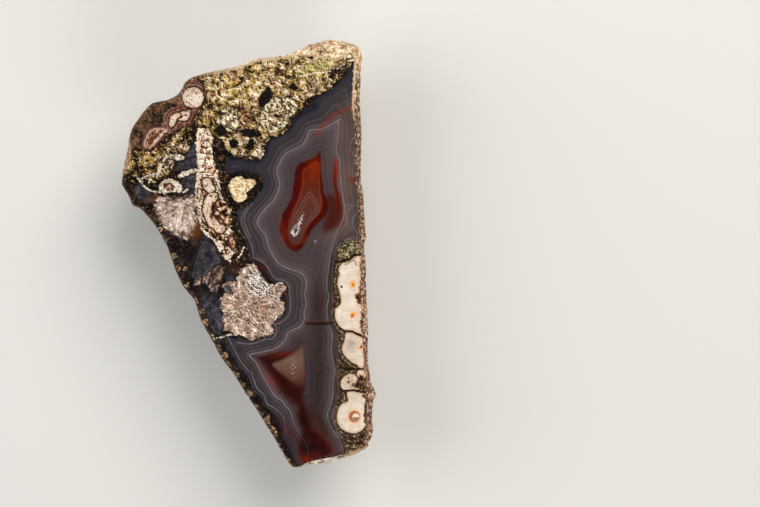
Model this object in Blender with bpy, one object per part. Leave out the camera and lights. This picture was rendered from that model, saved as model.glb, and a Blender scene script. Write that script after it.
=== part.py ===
"""One half of a sawn moss agate nodule.

The polished cut lies flat on top, facing +Z, and the natural rind rounds away below it
to the small flat spot that the half rests on. X is across the half, Y along it, and the
origin is under the middle of its box, on the surface that it rests on. Metres.
"""

import math

import bmesh
import bpy
import numpy as np
from mathutils import Vector, noise

# Real size
HALF_LENGTH = 0.0950        # along Y, tip to tip
HALF_HEIGHT = 0.0240        # from the surface it rests on up to the polished cut

# Outline of the half seen square on, clockwise from its left tip. Each point is x and y
# (y downwards) and the width of rind that shows outside the polished cut, all in pixels
# of the photograph and scaled to HALF_LENGTH.
OUTLINE = [
    (121.5, 182.5, 1.2), (122.0, 172.0, 3.0), (124.6, 157.2, 5.0), (127.6, 146.4, 4.0),
    (128.5, 138.0, 2.2), (131.8, 127.8, 1.5), (137.2, 119.4, 1.5), (145.0, 109.2, 1.5),
    (153.4, 102.3, 1.5), (166.0, 99.9, 1.5), (175.6, 95.4, 1.5), (181.0, 89.5, 1.5),
    (184.0, 83.0, 1.5), (190.0, 77.7, 1.5), (200.0, 74.0, 1.5), (215.3, 70.3, 1.5),
    (232.0, 67.0, 1.5), (245.3, 63.0, 1.5), (256.7, 58.3, 1.5), (269.3, 57.0, 1.5),
    (283.3, 54.7, 1.8), (292.0, 52.5, 2.6), (300.0, 48.3, 6.0), (307.3, 44.0, 11.0),
    (318.0, 40.3, 16.0), (328.7, 37.7, 19.5), (340.7, 38.7, 20.5), (351.3, 42.3, 15.5),
    (358.7, 46.3, 9.0), (361.8, 56.0, 6.0), (361.0, 66.7, 5.0), (360.3, 86.7, 5.5),
    (360.0, 106.7, 6.0), (361.3, 130.0, 4.5), (361.0, 160.0, 3.5), (361.0, 180.0, 3.0),
    (363.0, 193.0, 3.5), (364.0, 207.0, 3.5), (365.2, 230.0, 4.0), (366.0, 237.0, 4.5),
    (364.0, 246.0, 3.2), (365.5, 262.0, 4.0), (366.0, 285.0, 5.0), (367.0, 308.0, 5.0),
    (368.0, 332.0, 4.5), (367.5, 350.0, 4.0), (368.8, 372.0, 3.5), (372.0, 387.0, 5.0),
    (375.5, 395.0, 7.0), (373.0, 403.0, 6.0), (372.0, 418.0, 5.0), (373.3, 432.0, 5.5),
    (369.5, 442.0, 4.5), (366.5, 448.5, 3.5), (352.0, 456.0, 4.0), (333.0, 462.0, 5.0),
    (320.0, 465.5, 6.0), (308.0, 465.3, 3.0), (298.0, 468.5, 1.8), (289.0, 465.0, 1.5),
    (281.0, 451.0, 1.5), (271.0, 434.0, 2.0), (259.0, 414.0, 1.5), (247.0, 396.0, 1.5),
    (234.0, 375.0, 1.5), (223.0, 360.5, 1.5), (213.0, 343.0, 1.5), (201.0, 321.0, 1.5),
    (194.0, 301.0, 1.5), (183.0, 286.5, 1.5), (175.0, 270.0, 1.5), (168.0, 250.0, 1.5),
    (157.0, 228.8, 1.5), (145.0, 213.8, 1.5), (138.4, 207.8, 1.5), (132.0, 205.0, 1.5),
    (128.5, 196.5, 1.5), (123.5, 188.5, 1.2),
]
OUTLINE_LENGTH = 430.8      # the outline's extent in y, in the same pixels
PIXEL = HALF_LENGTH / OUTLINE_LENGTH

# The line that the back closes on, in the same pixels: its two ends
KEEL = ((255.0, 195.0), (306.0, 325.0))

# Rind: the slope it leaves the cut at, how deep under the cut it is widest, and how full
# its back is, which is leaner where the outline reaches far from the keel
EDGE_SLOPE = math.radians(38)
WIDEST_DEPTH = 0.0011
WIDEST_PER_RIM = 0.95
FULL_DEPTH = HALF_HEIGHT * 1.045    # a little past the resting surface, which cuts it flat
BACK_ROUNDNESS = 0.86
TIP_LEANNESS = 0.40
TIP_REACH = 0.036
CLOSING_ANGLE = math.radians(84)

# Relief of the rind: height and width of each kind, and where its noise is read
SWELLS = (0.00170, 0.0170)
SWELLS_AT = Vector((3.1, 7.7, 1.9))
LUMPS = (0.00105, 0.0066)
LUMPS_AT = Vector((11.3, 2.4, 5.6))
RIDGES = (0.00080, 0.0105)
RIDGES_AT = Vector((6.2, 9.1, 4.4))
RIDGE_STEEPNESS = 2.6
PITS = (0.00120, 0.0058)
PITS_AT = Vector((1.7, 4.2, 8.8))
PIT_RADIUS = 0.42           # of a pit's width
RELIEF_DEPTH = 0.0045       # depth under the widest ring over which the relief comes in
RELIEF_SINK = 0.00070       # how far the relief's middle lies under the smooth surface
ROOM_USED = 0.8             # how much of the room inside the outline the relief may use

# The small open hollow in the cut, in pixels: centre, half width, half length, and depth
VUG_CENTRE = (296.0, 229.5)
VUG_HALF = (4.6, 6.6)
VUG_DEPTH = 0.0019
VUG_LUMP = 0.16             # how much its wall swells in and out
VUG_LUMPS = 1.7             # how often
VUG_LUMPS_AT = Vector((0.4, 2.2, 5.0))

# Fineness of the facets
POINTS_AROUND = 148
RIM_RINGS = 4
BACK_RINGS = 22
CURVE_STEPS = 16            # between two points of the outline, before even spacing
TANGENT_REACH = 3           # points to either side that give the outline's direction
SHARP_ANGLE = math.radians(40)

STONE_COLOUR = (0.20, 0.14, 0.11, 1.0)
STONE_ROUGHNESS = 0.35


def clear_scene():
    """Start from an empty scene."""
    for item in list(bpy.data.objects):
        bpy.data.objects.remove(item)


def to_metres(x, y):
    """Photograph pixels to metres, before the half is centred on its box."""
    return np.array([x * PIXEL, -y * PIXEL])


def closed_curve(points, count):
    """A smooth closed curve through the points, at even steps along its length."""
    points = np.array(points, float)
    steps = np.linspace(0.0, 1.0, CURVE_STEPS, endpoint=False)[:, None]
    dense = []
    for i in range(len(points)):
        before, start, end, after = (points[(i + k) % len(points)] for k in (-1, 0, 1, 2))
        dense.append(0.5 * (2 * start + (end - before) * steps
                            + (2 * before - 5 * start + 4 * end - after) * steps ** 2
                            + (3 * start - before - 3 * end + after) * steps ** 3))
    dense = np.concatenate(dense + [dense[0][:1]])
    strides = np.linalg.norm(np.diff(dense[:, :2], axis=0), axis=1)
    along = np.concatenate([[0.0], np.cumsum(strides)])
    wanted = np.linspace(0.0, along[-1], count, endpoint=False)
    return np.stack([np.interp(wanted, along, dense[:, k]) for k in range(3)], axis=1)


def inward(curve):
    """Unit directions into a clockwise closed curve, smoothed along it."""
    tangent = np.roll(curve, -TANGENT_REACH, axis=0) - np.roll(curve, TANGENT_REACH, axis=0)
    normal = np.stack([tangent[:, 1], -tangent[:, 0]], axis=1)
    return normal / np.linalg.norm(normal, axis=1)[:, None]


def keel_points(curve):
    """The nearest point of the keel to each point of the outline."""
    start, end = (to_metres(*corner) for corner in KEEL)
    span = end - start
    share = np.clip((curve - start) @ span / (span @ span), 0.0, 1.0)
    return start + share[:, None] * span


def smooth_rings():
    """Rings of points from the edge of the cut down over the rind to the resting spot.

    With them come each point's room, how far inside the outline it lies seen from above,
    which the relief may not pass, and its depth below the widest ring.
    """
    traced = closed_curve(OUTLINE, POINTS_AROUND)
    outline = np.stack([traced[:, 0] * PIXEL, -traced[:, 1] * PIXEL], axis=1)
    rim = traced[:, 2] * PIXEL
    into = inward(outline)
    keel = keel_points(outline)
    widest = WIDEST_DEPTH + WIDEST_PER_RIM * rim
    reach = np.linalg.norm(outline - keel, axis=1)
    leanness = BACK_ROUNDNESS + TIP_LEANNESS * np.clip(reach / TIP_REACH - 0.5, 0.0, 1.0)
    rings = []
    room = []
    below = []
    for step in range(RIM_RINGS):
        angle = EDGE_SLOPE + (math.pi / 2 - EDGE_SLOPE) * step / RIM_RINGS
        out = (math.sin(angle) - math.sin(EDGE_SLOPE)) / (1.0 - math.sin(EDGE_SLOPE))
        down = (math.cos(EDGE_SLOPE) - math.cos(angle)) / math.cos(EDGE_SLOPE)
        place = outline + into * (rim * (1.0 - out))[:, None]
        rings.append(np.column_stack([place, HALF_HEIGHT - widest * down]))
        room.append(rim * (1.0 - out))
        below.append(np.zeros(POINTS_AROUND))
    for step in range(BACK_RINGS + 1):
        angle = CLOSING_ANGLE * step / BACK_RINGS
        share = math.cos(angle) ** leanness
        depth = widest + (FULL_DEPTH - widest) * math.sin(angle)
        place = keel + (outline - keel) * share[:, None]
        rings.append(np.column_stack([place, HALF_HEIGHT - depth]))
        room.append(reach * (1.0 - share))
        below.append(depth - widest)
    return np.array(rings), np.array(room), np.array(below)


def ring_normals(rings):
    """Outward unit normals of the ringed surface, from its neighbours."""
    around = np.roll(rings, -1, axis=1) - np.roll(rings, 1, axis=1)
    down = np.gradient(rings, axis=0)
    normal = np.cross(around, down)
    return normal / np.linalg.norm(normal, axis=2)[:, :, None]


def rind_relief(point):
    """Height of the natural surface above the smooth one: swells, lumps, ridges, pits."""
    swell = noise.noise(point / SWELLS[1] + SWELLS_AT)
    lump = noise.noise(point / LUMPS[1] + LUMPS_AT)
    ridge = 1.0 - RIDGE_STEEPNESS * abs(noise.noise(point / RIDGES[1] + RIDGES_AT))
    nearest = noise.voronoi(point / PITS[1] + PITS_AT)[0][0]
    pit = max(0.0, 1.0 - (nearest / PIT_RADIUS) ** 2)
    return (SWELLS[0] * swell + LUMPS[0] * lump + RIDGES[0] * max(0.0, ridge) ** 3
            - PITS[0] * pit)


def shape_rind(rings, room, below):
    """The rings with the relief of the rind, flat where the half rests."""
    normals = ring_normals(rings)
    shaped = rings.copy()
    for i, j in np.ndindex(room.shape):
        come_in = min(1.0, below[i, j] / RELIEF_DEPTH)
        height = (rind_relief(Vector(rings[i, j])) - RELIEF_SINK) * come_in
        shaped[i, j] += normals[i, j] * min(height, room[i, j] * ROOM_USED)
    shaped[:, :, 2] = np.maximum(shaped[:, :, 2], 0.0)
    shaped[-1, :, 2] = 0.0
    return shaped


def centred(rings):
    """The rings moved so that the middle of their box stands over the origin, and the
    move."""
    low = rings.reshape(-1, 3).min(axis=0)
    high = rings.reshape(-1, 3).max(axis=0)
    middle = np.array([(low[0] + high[0]) / 2, (low[1] + high[1]) / 2, 0.0])
    return rings - middle, middle


def stone_material():
    """The stone's mean colour, with the sheen of its polished face."""
    material = bpy.data.materials.new("agate_stone")
    material.use_nodes = True
    shader = material.node_tree.nodes["Principled BSDF"]
    shader.inputs["Base Color"].default_value = STONE_COLOUR
    shader.inputs["Roughness"].default_value = STONE_ROUGHNESS
    shader.inputs["Metallic"].default_value = 0.0
    return material


def vug_cutter(middle):
    """The lumpy egg that cuts the open hollow out of the polished face."""
    mesh = bpy.data.meshes.new("vug_cutter")
    shape = bmesh.new()
    bmesh.ops.create_icosphere(shape, subdivisions=2, radius=1.0)
    for vert in shape.verts:
        bulge = 1.0 + VUG_LUMP * noise.noise(vert.co * VUG_LUMPS + VUG_LUMPS_AT)
        vert.co = Vector((vert.co.x * VUG_HALF[0] * PIXEL * bulge,
                          vert.co.y * VUG_HALF[1] * PIXEL * bulge,
                          vert.co.z * VUG_DEPTH * bulge))
    shape.to_mesh(mesh)
    shape.free()
    cutter = bpy.data.objects.new("vug_cutter", mesh)
    bpy.context.collection.objects.link(cutter)
    place = to_metres(*VUG_CENTRE) - middle[:2]
    cutter.location = (place[0], place[1], HALF_HEIGHT)
    cutter.hide_render = True
    cutter.display_type = 'WIRE'
    return cutter


def build_half():
    """The half: the flat cut, the rind's rings, the resting face, and the hollow."""
    rings, middle = centred(shape_rind(*smooth_rings()))
    mesh = bpy.data.meshes.new("agate_half")
    shape = bmesh.new()
    grid = [[shape.verts.new(point) for point in ring] for ring in rings]
    shape.faces.new(grid[0][::-1])
    for upper, lower in zip(grid, grid[1:]):
        for j in range(POINTS_AROUND):
            k = (j + 1) % POINTS_AROUND
            shape.faces.new((upper[j], upper[k], lower[k], lower[j]))
    shape.faces.new(grid[-1])
    bmesh.ops.recalc_face_normals(shape, faces=shape.faces)
    bmesh.ops.triangulate(shape, faces=[face for face in shape.faces if len(face.verts) == 4])
    shape.to_mesh(mesh)
    shape.free()
    mesh.shade_smooth()
    mesh.set_sharp_from_angle(angle=SHARP_ANGLE)
    mesh.materials.append(stone_material())
    half = bpy.data.objects.new("agate_half", mesh)
    bpy.context.collection.objects.link(half)
    hollow = half.modifiers.new("vug", 'BOOLEAN')
    hollow.operation = 'DIFFERENCE'
    hollow.solver = 'EXACT'
    hollow.object = vug_cutter(middle)
    return half


clear_scene()
build_half()
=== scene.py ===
"""The looks of a sawn moss agate half: polished cut above, natural rind below."""

import math

import bmesh
import bpy
import numpy as np
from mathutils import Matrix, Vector, geometry, kdtree, noise


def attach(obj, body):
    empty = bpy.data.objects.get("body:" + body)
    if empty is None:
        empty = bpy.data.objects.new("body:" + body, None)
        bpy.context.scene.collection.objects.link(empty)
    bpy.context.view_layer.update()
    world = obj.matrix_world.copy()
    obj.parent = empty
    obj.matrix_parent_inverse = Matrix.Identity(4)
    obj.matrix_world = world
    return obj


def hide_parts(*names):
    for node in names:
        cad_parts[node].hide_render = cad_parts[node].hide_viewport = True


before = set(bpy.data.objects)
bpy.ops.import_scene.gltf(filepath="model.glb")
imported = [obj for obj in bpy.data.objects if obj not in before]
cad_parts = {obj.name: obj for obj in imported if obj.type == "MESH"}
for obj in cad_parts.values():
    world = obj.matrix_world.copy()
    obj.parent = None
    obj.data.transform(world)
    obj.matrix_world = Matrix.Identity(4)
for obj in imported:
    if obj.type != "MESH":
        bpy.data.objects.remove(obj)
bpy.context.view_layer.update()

# Real size, as the solid has it
HALF_LENGTH = 0.0950
HALF_HEIGHT = 0.0240

# Outline seen square on, clockwise from the left tip: x, y (downwards) and the width of
# rind outside the polished cut, in pixels of the photograph.
OUTLINE = [
    (121.5, 182.5, 1.2), (122, 172, 3), (124.6, 157.2, 5), (127.6, 146.4, 4),
    (128.5, 138, 2.2), (131.8, 127.8, 1.5), (137.2, 119.4, 1.5), (145, 109.2, 1.5),
    (153.4, 102.3, 1.5), (166, 99.9, 1.5), (175.6, 95.4, 1.5), (181, 89.5, 1.5),
    (184, 83, 1.5), (190, 77.7, 1.5), (200, 74, 1.5), (215.3, 70.3, 1.5),
    (232, 67, 1.5), (245.3, 63, 1.5), (256.7, 58.3, 1.5), (269.3, 57, 1.5),
    (283.3, 54.7, 1.8), (292, 52.5, 2.6), (300, 48.3, 6), (307.3, 44, 11),
    (318, 40.3, 16), (328.7, 37.7, 19.5), (340.7, 38.7, 20.5), (351.3, 42.3, 15.5),
    (358.7, 46.3, 9), (361.8, 56, 6), (361, 66.7, 5), (360.3, 86.7, 5.5),
    (360, 106.7, 6), (361.3, 130, 4.5), (361, 160, 3.5), (361, 180, 3),
    (363, 193, 3.5), (364, 207, 3.5), (365.2, 230, 4), (366, 237, 4.5),
    (364, 246, 3.2), (365.5, 262, 4), (366, 285, 5), (367, 308, 5),
    (368, 332, 4.5), (367.5, 350, 4), (368.8, 372, 3.5), (372, 387, 5),
    (375.5, 395, 7), (373, 403, 6), (372, 418, 5), (373.3, 432, 5.5),
    (369.5, 442, 4.5), (366.5, 448.5, 3.5), (352, 456, 4), (333, 462, 5),
    (320, 465.5, 6), (308, 465.3, 3), (298, 468.5, 1.8), (289, 465, 1.5),
    (281, 451, 1.5), (271, 434, 2), (259, 414, 1.5), (247, 396, 1.5),
    (234, 375, 1.5), (223, 360.5, 1.5), (213, 343, 1.5), (201, 321, 1.5),
    (194, 301, 1.5), (183, 286.5, 1.5), (175, 270, 1.5), (168, 250, 1.5),
    (157, 228.8, 1.5), (145, 213.8, 1.5), (138.4, 207.8, 1.5), (132, 205, 1.5),
    (128.5, 196.5, 1.5), (123.5, 188.5, 1.2),
]
OUTLINE_LENGTH = 430.8
PIXEL = HALF_LENGTH / OUTLINE_LENGTH
MIDDLE_PX = (248.5, 253.1)          # the middle of the outline's box
PHOTO_WIDTH = 760
PHOTO_HEIGHT = 507
KEEL = ((255.0, 195.0), (306.0, 325.0))     # the sides draw in towards this line

# Lengths below are metres where nothing else is said
EDGE_SLOPE = math.radians(38)       # of the rind where it leaves the cut
WIDEST_DEPTH = 0.0011               # below the cut, and what a wide rim adds to it
WIDEST_PER_RIM = 0.95
FULL_DEPTH = HALF_HEIGHT * 1.045    # of the round back, before it closes flat
BACK_ROUNDNESS = 0.86
TIP_LEANNESS = 0.40                 # the ends, which lie far from the keel, are leaner
TIP_REACH = 0.036
CLOSING_ANGLE = math.radians(84)
# The rind's relief: height, size and shift of each kind
SWELLS = (0.00170, 0.0170, (3.1, 7.7, 1.9))
LUMPS = (0.00105, 0.0066, (11.3, 2.4, 5.6))
RIDGES = (0.00080, 0.0105, (6.2, 9.1, 4.4))
PITS = (0.00120, 0.0058, (1.7, 4.2, 8.8))
RIDGE_SHARPNESS = 2.6
PIT_RADIUS = 0.42
RELIEF_DEPTH = 0.0045               # below the widest ring, where it is whole
RELIEF_SINK = 0.00070
ROOM_USED = 0.8                     # share of a point's room that relief may fill
GRAIN = (0.00032, 0.0012)           # fine relief that only this mesh has
GRAIN_FRACTAL = (0.7, 2.1, 3)

# The small open hollow in the red eye: pixels, but metres deep
VUG_CENTRE = (295.8, 230.2)
VUG_HALF = (3.7, 5.6)
VUG_DEPTH = 0.0015
VUG_WOBBLE = 0.10
VUG_CORNERS = 3
VUG_TURN = 0.6
VUG_LEAN = 0.40

POINTS_AROUND = 760
TANGENT_REACH = POINTS_AROUND // 50     # points to both sides that give a direction
RIM_RINGS = 6
BACK_RINGS = 34
FACE_STEP = 0.000228                # spacing of the points over the polished cut
EDGE_GAP = 0.75                     # steps left free between those points and the edge
# A cell's sides: row and column of both ends, and where the cell beyond it lies
CELL_SIDES = ((0, 0, 0, 1, -1, 0), (1, 0, 1, 1, 1, 0), (0, 0, 1, 0, 0, -1),
              (0, 1, 1, 1, 0, 1))
SAMPLE_STEP = 0.4                   # pixels between the points that stand for a curve
INSIDE_STEP = 1.0                   # the same where only inside or outside is asked
OUTLINE_STEP = 0.2                  # the same for the outline of the stone
CURVE_SHARES = 24                   # steps between two given points of a curve
FAR = 60.0                          # pixels: distances are not told apart past this
FIELD_PREFIX = "cut_"

# The stone's map, in shares of its width and height
MAP_MARGIN = 0.006
MAP_HEIGHT = 0.988
RIND_MAP = (0.595, 0.335)
FOOT_MAP = (0.94, 0.4)
FOOT_MAP_SIZE = 0.05
SHARP_ANGLE = math.radians(28)

FLOOR_HALF = 0.6
FLOOR_COLOUR = (206, 204, 200)
FLOOR_ROUGHNESS = 0.7
# Lights: name, place, width and height, power, colour
LIGHTS = [
    ("key", (0.22, 0.34, 0.46), (0.44, 0.44), 3.9, (1.0, 0.97, 0.93)),
    ("fill", (-0.42, 0.05, 0.34), (0.40, 0.50), 2.0, (0.94, 0.97, 1.0)),
    ("low", (0.18, -0.42, 0.30), (0.36, 0.24), 1.5, (1.0, 0.98, 0.95)),
]
LIGHT_AIM = (0.0, 0.0, 0.01)
WORLD_LEVEL = 0.07
SENSOR_WIDTH = 36.0
FOCAL_LENGTH = 120.0
CLIP = (0.01, 10.0)


# Where things lie in the cut, in pixels of the photograph

WALL = [
    (354, 62), (348, 66), (343, 78), (336, 86), (326, 92), (318, 98), (316, 108), (308, 112),
    (301, 117), (296, 122), (290, 130), (283, 134), (274, 139), (269, 144), (267, 152),
    (263, 160), (256, 163), (247, 161), (238, 160), (229, 162), (224, 168), (228, 173),
    (240, 172), (250, 173), (258, 175), (264, 180), (262, 188), (255, 198), (247, 205),
    (240, 208), (238, 215), (240, 225), (244, 235), (249, 245), (251, 255), (255, 259),
    (262, 263), (268, 270), (272, 278), (277, 282), (284, 282), (288, 290), (288, 300),
    (287, 310), (282, 318), (276, 322), (275, 330), (271, 336), (264, 338), (250, 341),
    (240, 340), (232, 338), (226, 338), (229, 345), (232, 352), (236, 358), (240, 366),
    (246, 374), (252, 384), (258, 392), (263, 400), (270, 410), (277, 418), (281, 428),
    (284, 438), (289, 448), (293, 458), (298, 465), (304, 466), (312, 464), (320, 458),
    (337, 456), (344, 452), (342, 445), (338, 438), (334, 430), (331, 422), (331, 412),
    (334, 404), (336, 395), (336, 372), (334, 364), (336, 350), (336, 332), (331, 320),
    (330, 300), (330, 270), (331, 255), (334, 251), (340, 246), (348, 243), (356, 242),
    (363, 243), (363, 220), (362, 200), (360, 180), (359, 160), (358, 140), (356, 125),
    (354, 110), (354, 90), (356, 75),
]
BAND_LEFT = [
    (338.5, 119.9), (330, 125), (320, 129), (310, 130), (308.5, 133), (303, 144),
    (293, 149.7), (284.5, 155), (277, 170), (279.5, 185), (274.5, 199), (264, 210),
    (257.3, 222.7), (265.7, 236.5), (268.8, 248), (278, 263), (288.6, 268.6), (299, 272.5),
    (303, 275), (306, 281), (306, 288), (304.5, 293), (305.5, 300), (306, 306), (304, 313),
    (304, 320), (298.7, 327.3), (288.7, 332), (284, 341), (274, 348.7), (259, 352.6),
    (249.5, 355), (253.5, 360), (256, 363), (263.3, 377.3), (274.5, 395.7), (281, 400),
    (287, 407.5), (290, 411), (292, 417), (293, 421), (298, 431), (304, 441), (307, 446),
    (308, 452),
]
BAND_RIGHT = [
    (338.5, 121), (338.5, 130), (337.5, 140), (336.5, 147), (337, 153), (339, 158),
    (340, 163), (340, 170), (341, 180), (342, 190), (343.5, 200), (345, 208), (344, 216),
    (341, 224), (337, 232), (334, 242), (331, 255), (330, 260), (328.5, 270), (327, 280),
    (327, 290), (329.5, 295), (328.5, 300), (327, 306), (327, 315), (328, 320), (329, 324),
    (331, 330), (332.5, 335), (332, 342), (331.5, 350), (332, 357), (334, 363), (335, 370),
    (333, 385), (333, 392), (332, 400), (330, 407), (327.5, 413), (328, 419), (330, 425),
    (333, 431), (337, 436), (341, 442), (343, 450),
]
SPRAY_LINE = [
    (255, 258.4), (262, 261.5), (267.3, 266.8), (272, 275.3), (276.5, 279.5), (284, 280.6),
    (288.7, 286), (289.5, 293), (290.3, 303.6), (288.7, 315), (280.3, 322.7), (275, 324.2),
    (276.5, 331), (272.7, 338.8), (266.5, 338.8), (256.6, 342.6), (248.2, 344), (239, 342.6),
]
SLOPE_LINE = [
    (228, 337), (231, 343), (234, 349), (237, 355), (240, 360), (244, 365), (248, 370),
    (251, 372), (254, 380), (257, 388), (262, 393), (265, 397), (266, 402), (269, 405),
    (273, 407), (278, 411), (282, 415), (284, 420), (285, 426), (287, 431),
]
FOOT_LINE = [(285, 433), (291, 438), (295, 444), (297, 450), (298, 456), (301, 461), (304, 465)]
TUBE_LINE = [(334.5, 408), (332, 413), (332.5, 420), (335, 427), (337.5, 432), (341, 436)]
EDGE_LINES = [
    [(354.5, 127), (355.5, 135), (352, 140), (350.5, 144), (349.5, 150)],
    [(353, 153), (354.5, 160), (352, 166), (353, 175)],
    [(357.5, 200), (357, 212), (353.5, 217), (352.5, 222), (354, 228), (357, 232), (357, 240)],
    [(344, 212), (346, 206), (350, 204), (354, 206)],
    [(347, 224), (347, 214), (351, 208)],
]
POCKET_LINES = [
    [(193, 275), (196, 262), (199, 252), (203, 243)],
    [(203, 242), (210, 244), (214, 248), (216, 254), (219, 258), (220, 262), (214, 264),
     (210, 268), (204, 274), (196, 277)],
    [(216, 312), (218, 322), (220, 332)],
]
COLUMN_LINES = [
    [(247, 207), (243, 214), (241, 222), (243, 229), (246, 235), (249, 240), (252, 247),
     (253, 254)],
    [(251, 205), (246, 213), (245, 221), (247, 229), (250, 236)],
]
FLARE = [
    (359, 103), (352, 108), (345, 110), (336, 114), (328, 120), (322, 127), (319, 131),
    (316, 136),
]

EYE_OUTER = [
    (320, 151), (316, 156), (311, 158.5), (305, 161), (300, 163), (297, 167), (295, 173),
    (293.7, 183), (291, 199), (284.7, 210.5), (283, 213), (280, 225), (280, 231),
    (283.7, 240), (288.3, 247.4), (295, 251.5), (298, 251), (302, 248), (305, 243),
    (308, 237), (311, 231), (315, 226), (320, 221), (325, 216), (328, 210), (329, 206),
    (328, 202), (326, 197), (324, 193), (323, 187), (322, 180), (321, 172), (321, 163),
    (320.5, 157),
]
EYE_INNER = [
    (316, 162), (311, 165), (306, 168), (303, 172), (303, 180), (302, 187), (300, 194),
    (298, 200), (295, 206), (290.6, 217.6), (288.3, 225), (287.5, 234.4), (290.6, 243),
    (298, 245), (302, 241), (304, 235), (307, 228), (311, 222), (316, 217), (320, 212),
    (321, 208), (322, 203), (321, 196), (320, 190), (320, 183), (319, 175), (319, 165),
]
EYE_VEIL = [
    (308.6, 192.5), (306, 196), (303.5, 201), (300, 207), (296, 214), (292.8, 222), (291, 230),
    (292.5, 238), (297, 241.5), (301, 237), (304.5, 230), (309, 223), (314, 217), (318.5, 210),
    (318, 205), (315, 199), (312, 194.5), (310, 192),
]
STREAK = [
    (336, 158), (334, 168), (333, 175), (333.5, 185), (335, 192), (336, 200), (336.5, 208),
    (337, 216), (339, 222), (342, 216), (342, 205), (341, 197), (338, 190), (336.5, 183),
    (337, 176), (338, 168),
]
MAROON = [
    (328, 196), (331, 195), (335, 198), (339, 206), (341, 216), (340, 223), (334, 228),
    (328, 230), (325, 231), (324, 227), (327, 220), (329, 211), (328, 203),
]
LOW_RED = [
    (252, 356), (260, 355), (270, 351.5), (284, 350), (294, 349), (302, 343), (304, 352),
    (304.5, 380), (305, 395), (306, 408), (304, 414), (297, 407), (289, 401), (280, 392),
    (272, 380), (265, 369), (258, 361),
]
LOW_CORE = [
    (273, 364), (283, 359.5), (292, 354), (298, 349), (303, 344), (304, 360), (304.5, 376),
    (304, 389), (300, 390), (293, 383.5), (283.7, 375.3), (277, 370),
]
RED_FOOT = [
    (302, 408), (306, 412), (308, 422), (312, 430), (319, 436), (326, 442), (331, 449),
    (328, 455), (318, 459), (311, 463), (305, 465), (300, 458), (299, 448), (301, 440),
    (303, 430), (300, 420), (299, 412),
]

TUBES = [
    [(361, 257), (355, 257), (351, 260), (347, 262), (343, 263), (340, 266), (338.5, 270),
     (339.5, 274), (338, 279), (337.5, 284), (338.5, 289), (340, 294), (341, 300),
     (340.5, 304), (338, 307), (335.5, 309), (335, 314), (335.5, 319), (338, 324),
     (341, 328), (345, 330), (352, 331), (360, 333.5), (365, 335), (365, 320), (364, 305),
     (362, 290), (362, 275)],
    [(346, 333), (345, 338), (344, 342), (342, 347), (342.5, 351), (345, 356), (349, 360),
     (353, 363), (357, 365), (361, 368), (364, 367), (365, 362), (364, 350), (364, 339),
     (357, 335.5), (352, 333)],
    [(343, 390), (341, 386), (341, 381), (344, 377), (348, 374.5), (352, 374), (356, 376),
     (358, 380), (359, 384), (359, 389), (352, 389.5), (346, 390)],
    [(358, 371), (362, 370), (366, 372), (366, 377), (361, 379), (357, 375)],
    [(347, 393), (353, 391.5), (360, 393), (366, 394), (366, 402), (368, 412), (367, 422),
     (363, 429), (356, 433), (349, 432.5), (342, 429), (338, 423), (337, 416), (338.5, 409),
     (342, 404), (348, 401)],
    [(182.5, 97.5), (184, 92), (188, 88.5), (193, 87.5), (198, 88.5), (202, 92), (203.5, 98),
     (202, 103), (198, 107), (193, 107.5), (187, 106), (184, 102.5)],
    [(169.5, 126), (170, 118), (173, 114.5), (180, 112.5), (186, 110.5), (190, 111),
     (190, 115), (187, 120), (183, 120.5), (178, 120), (175, 124), (172, 127.5)],
    [(202, 182), (205, 178.4), (210, 179), (213, 184.5), (215, 190), (212, 192), (208, 192),
     (203.7, 187)],
    [(207, 196), (211, 193), (216.7, 193.7), (217, 199), (211.4, 205), (212, 213.6),
     (218, 222), (225, 227), (223, 232.7), (216.7, 232), (213.7, 228), (209, 226),
     (205, 216.6), (203, 210.5), (203.7, 203.6), (205, 199)],
    [(215.2, 213), (217, 211), (219, 212.5), (219.4, 215), (217, 215.2)],
]
STICKS = [
    [(178, 175), (184, 172), (191, 170), (197, 168.8), (197, 171.5), (190, 174), (184, 176.5),
     (179, 177.5)],
    [(174, 156.5), (178, 154.5), (183, 156), (183.5, 159), (179, 160), (175, 159.5)],
    [(159, 187), (163, 181.5), (169, 179), (176, 181), (182, 186), (182, 190), (176, 191.5),
     (168, 192.5), (161, 191)],
]
STICK_HOLES = [[(163, 186.5), (166, 183), (171, 183), (175, 186), (174, 190), (167, 190.5)]]
CREAM = [
    (229.7, 183), (233.6, 178.4), (240.5, 176.5), (246.6, 180), (251, 179), (255.8, 182),
    (252.7, 187), (250.4, 189), (245.8, 193), (246.6, 197.5), (242.8, 201), (239, 202.5),
    (233.6, 199), (230.5, 192), (229, 187),
]
COLUMN = [
    (197, 130), (196, 150), (198, 160), (197, 176), (196, 190), (197, 205), (199, 215),
    (201, 228), (207, 235), (214, 240), (219, 250), (225, 259), (230, 258), (234, 252),
    (235, 244), (231, 232), (231, 222), (230, 212), (226, 203), (222, 196), (219, 188),
    (219, 178), (216, 168), (213, 158), (211, 146), (212, 136), (205, 130),
]
COLUMN_SHADE = [
    (205, 226), (214, 222), (219, 226), (226, 224), (231, 230), (241, 226), (247, 240),
    (250, 250), (252, 258), (246, 263), (236, 266), (226, 263), (220, 255), (214, 242),
]
CAVITY = [
    (209, 206), (214, 202), (220, 200), (227, 204), (230, 213), (231, 222), (226, 226),
    (220, 222), (214, 217), (210, 212),
]
BEAD = [(229, 237), (231.5, 235.5), (234, 240), (235.5, 246), (233, 248.5), (230.5, 245)]
BROWN = [
    (131, 131), (137, 120), (145, 110), (153, 103), (166, 100), (176, 96), (184, 85),
    (190, 79), (200, 76), (206, 85), (208, 97), (205, 108), (197, 117), (190, 125),
    (180, 131), (168, 138), (158, 146), (150, 151), (140, 150), (131, 152), (127, 142),
]
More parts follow.
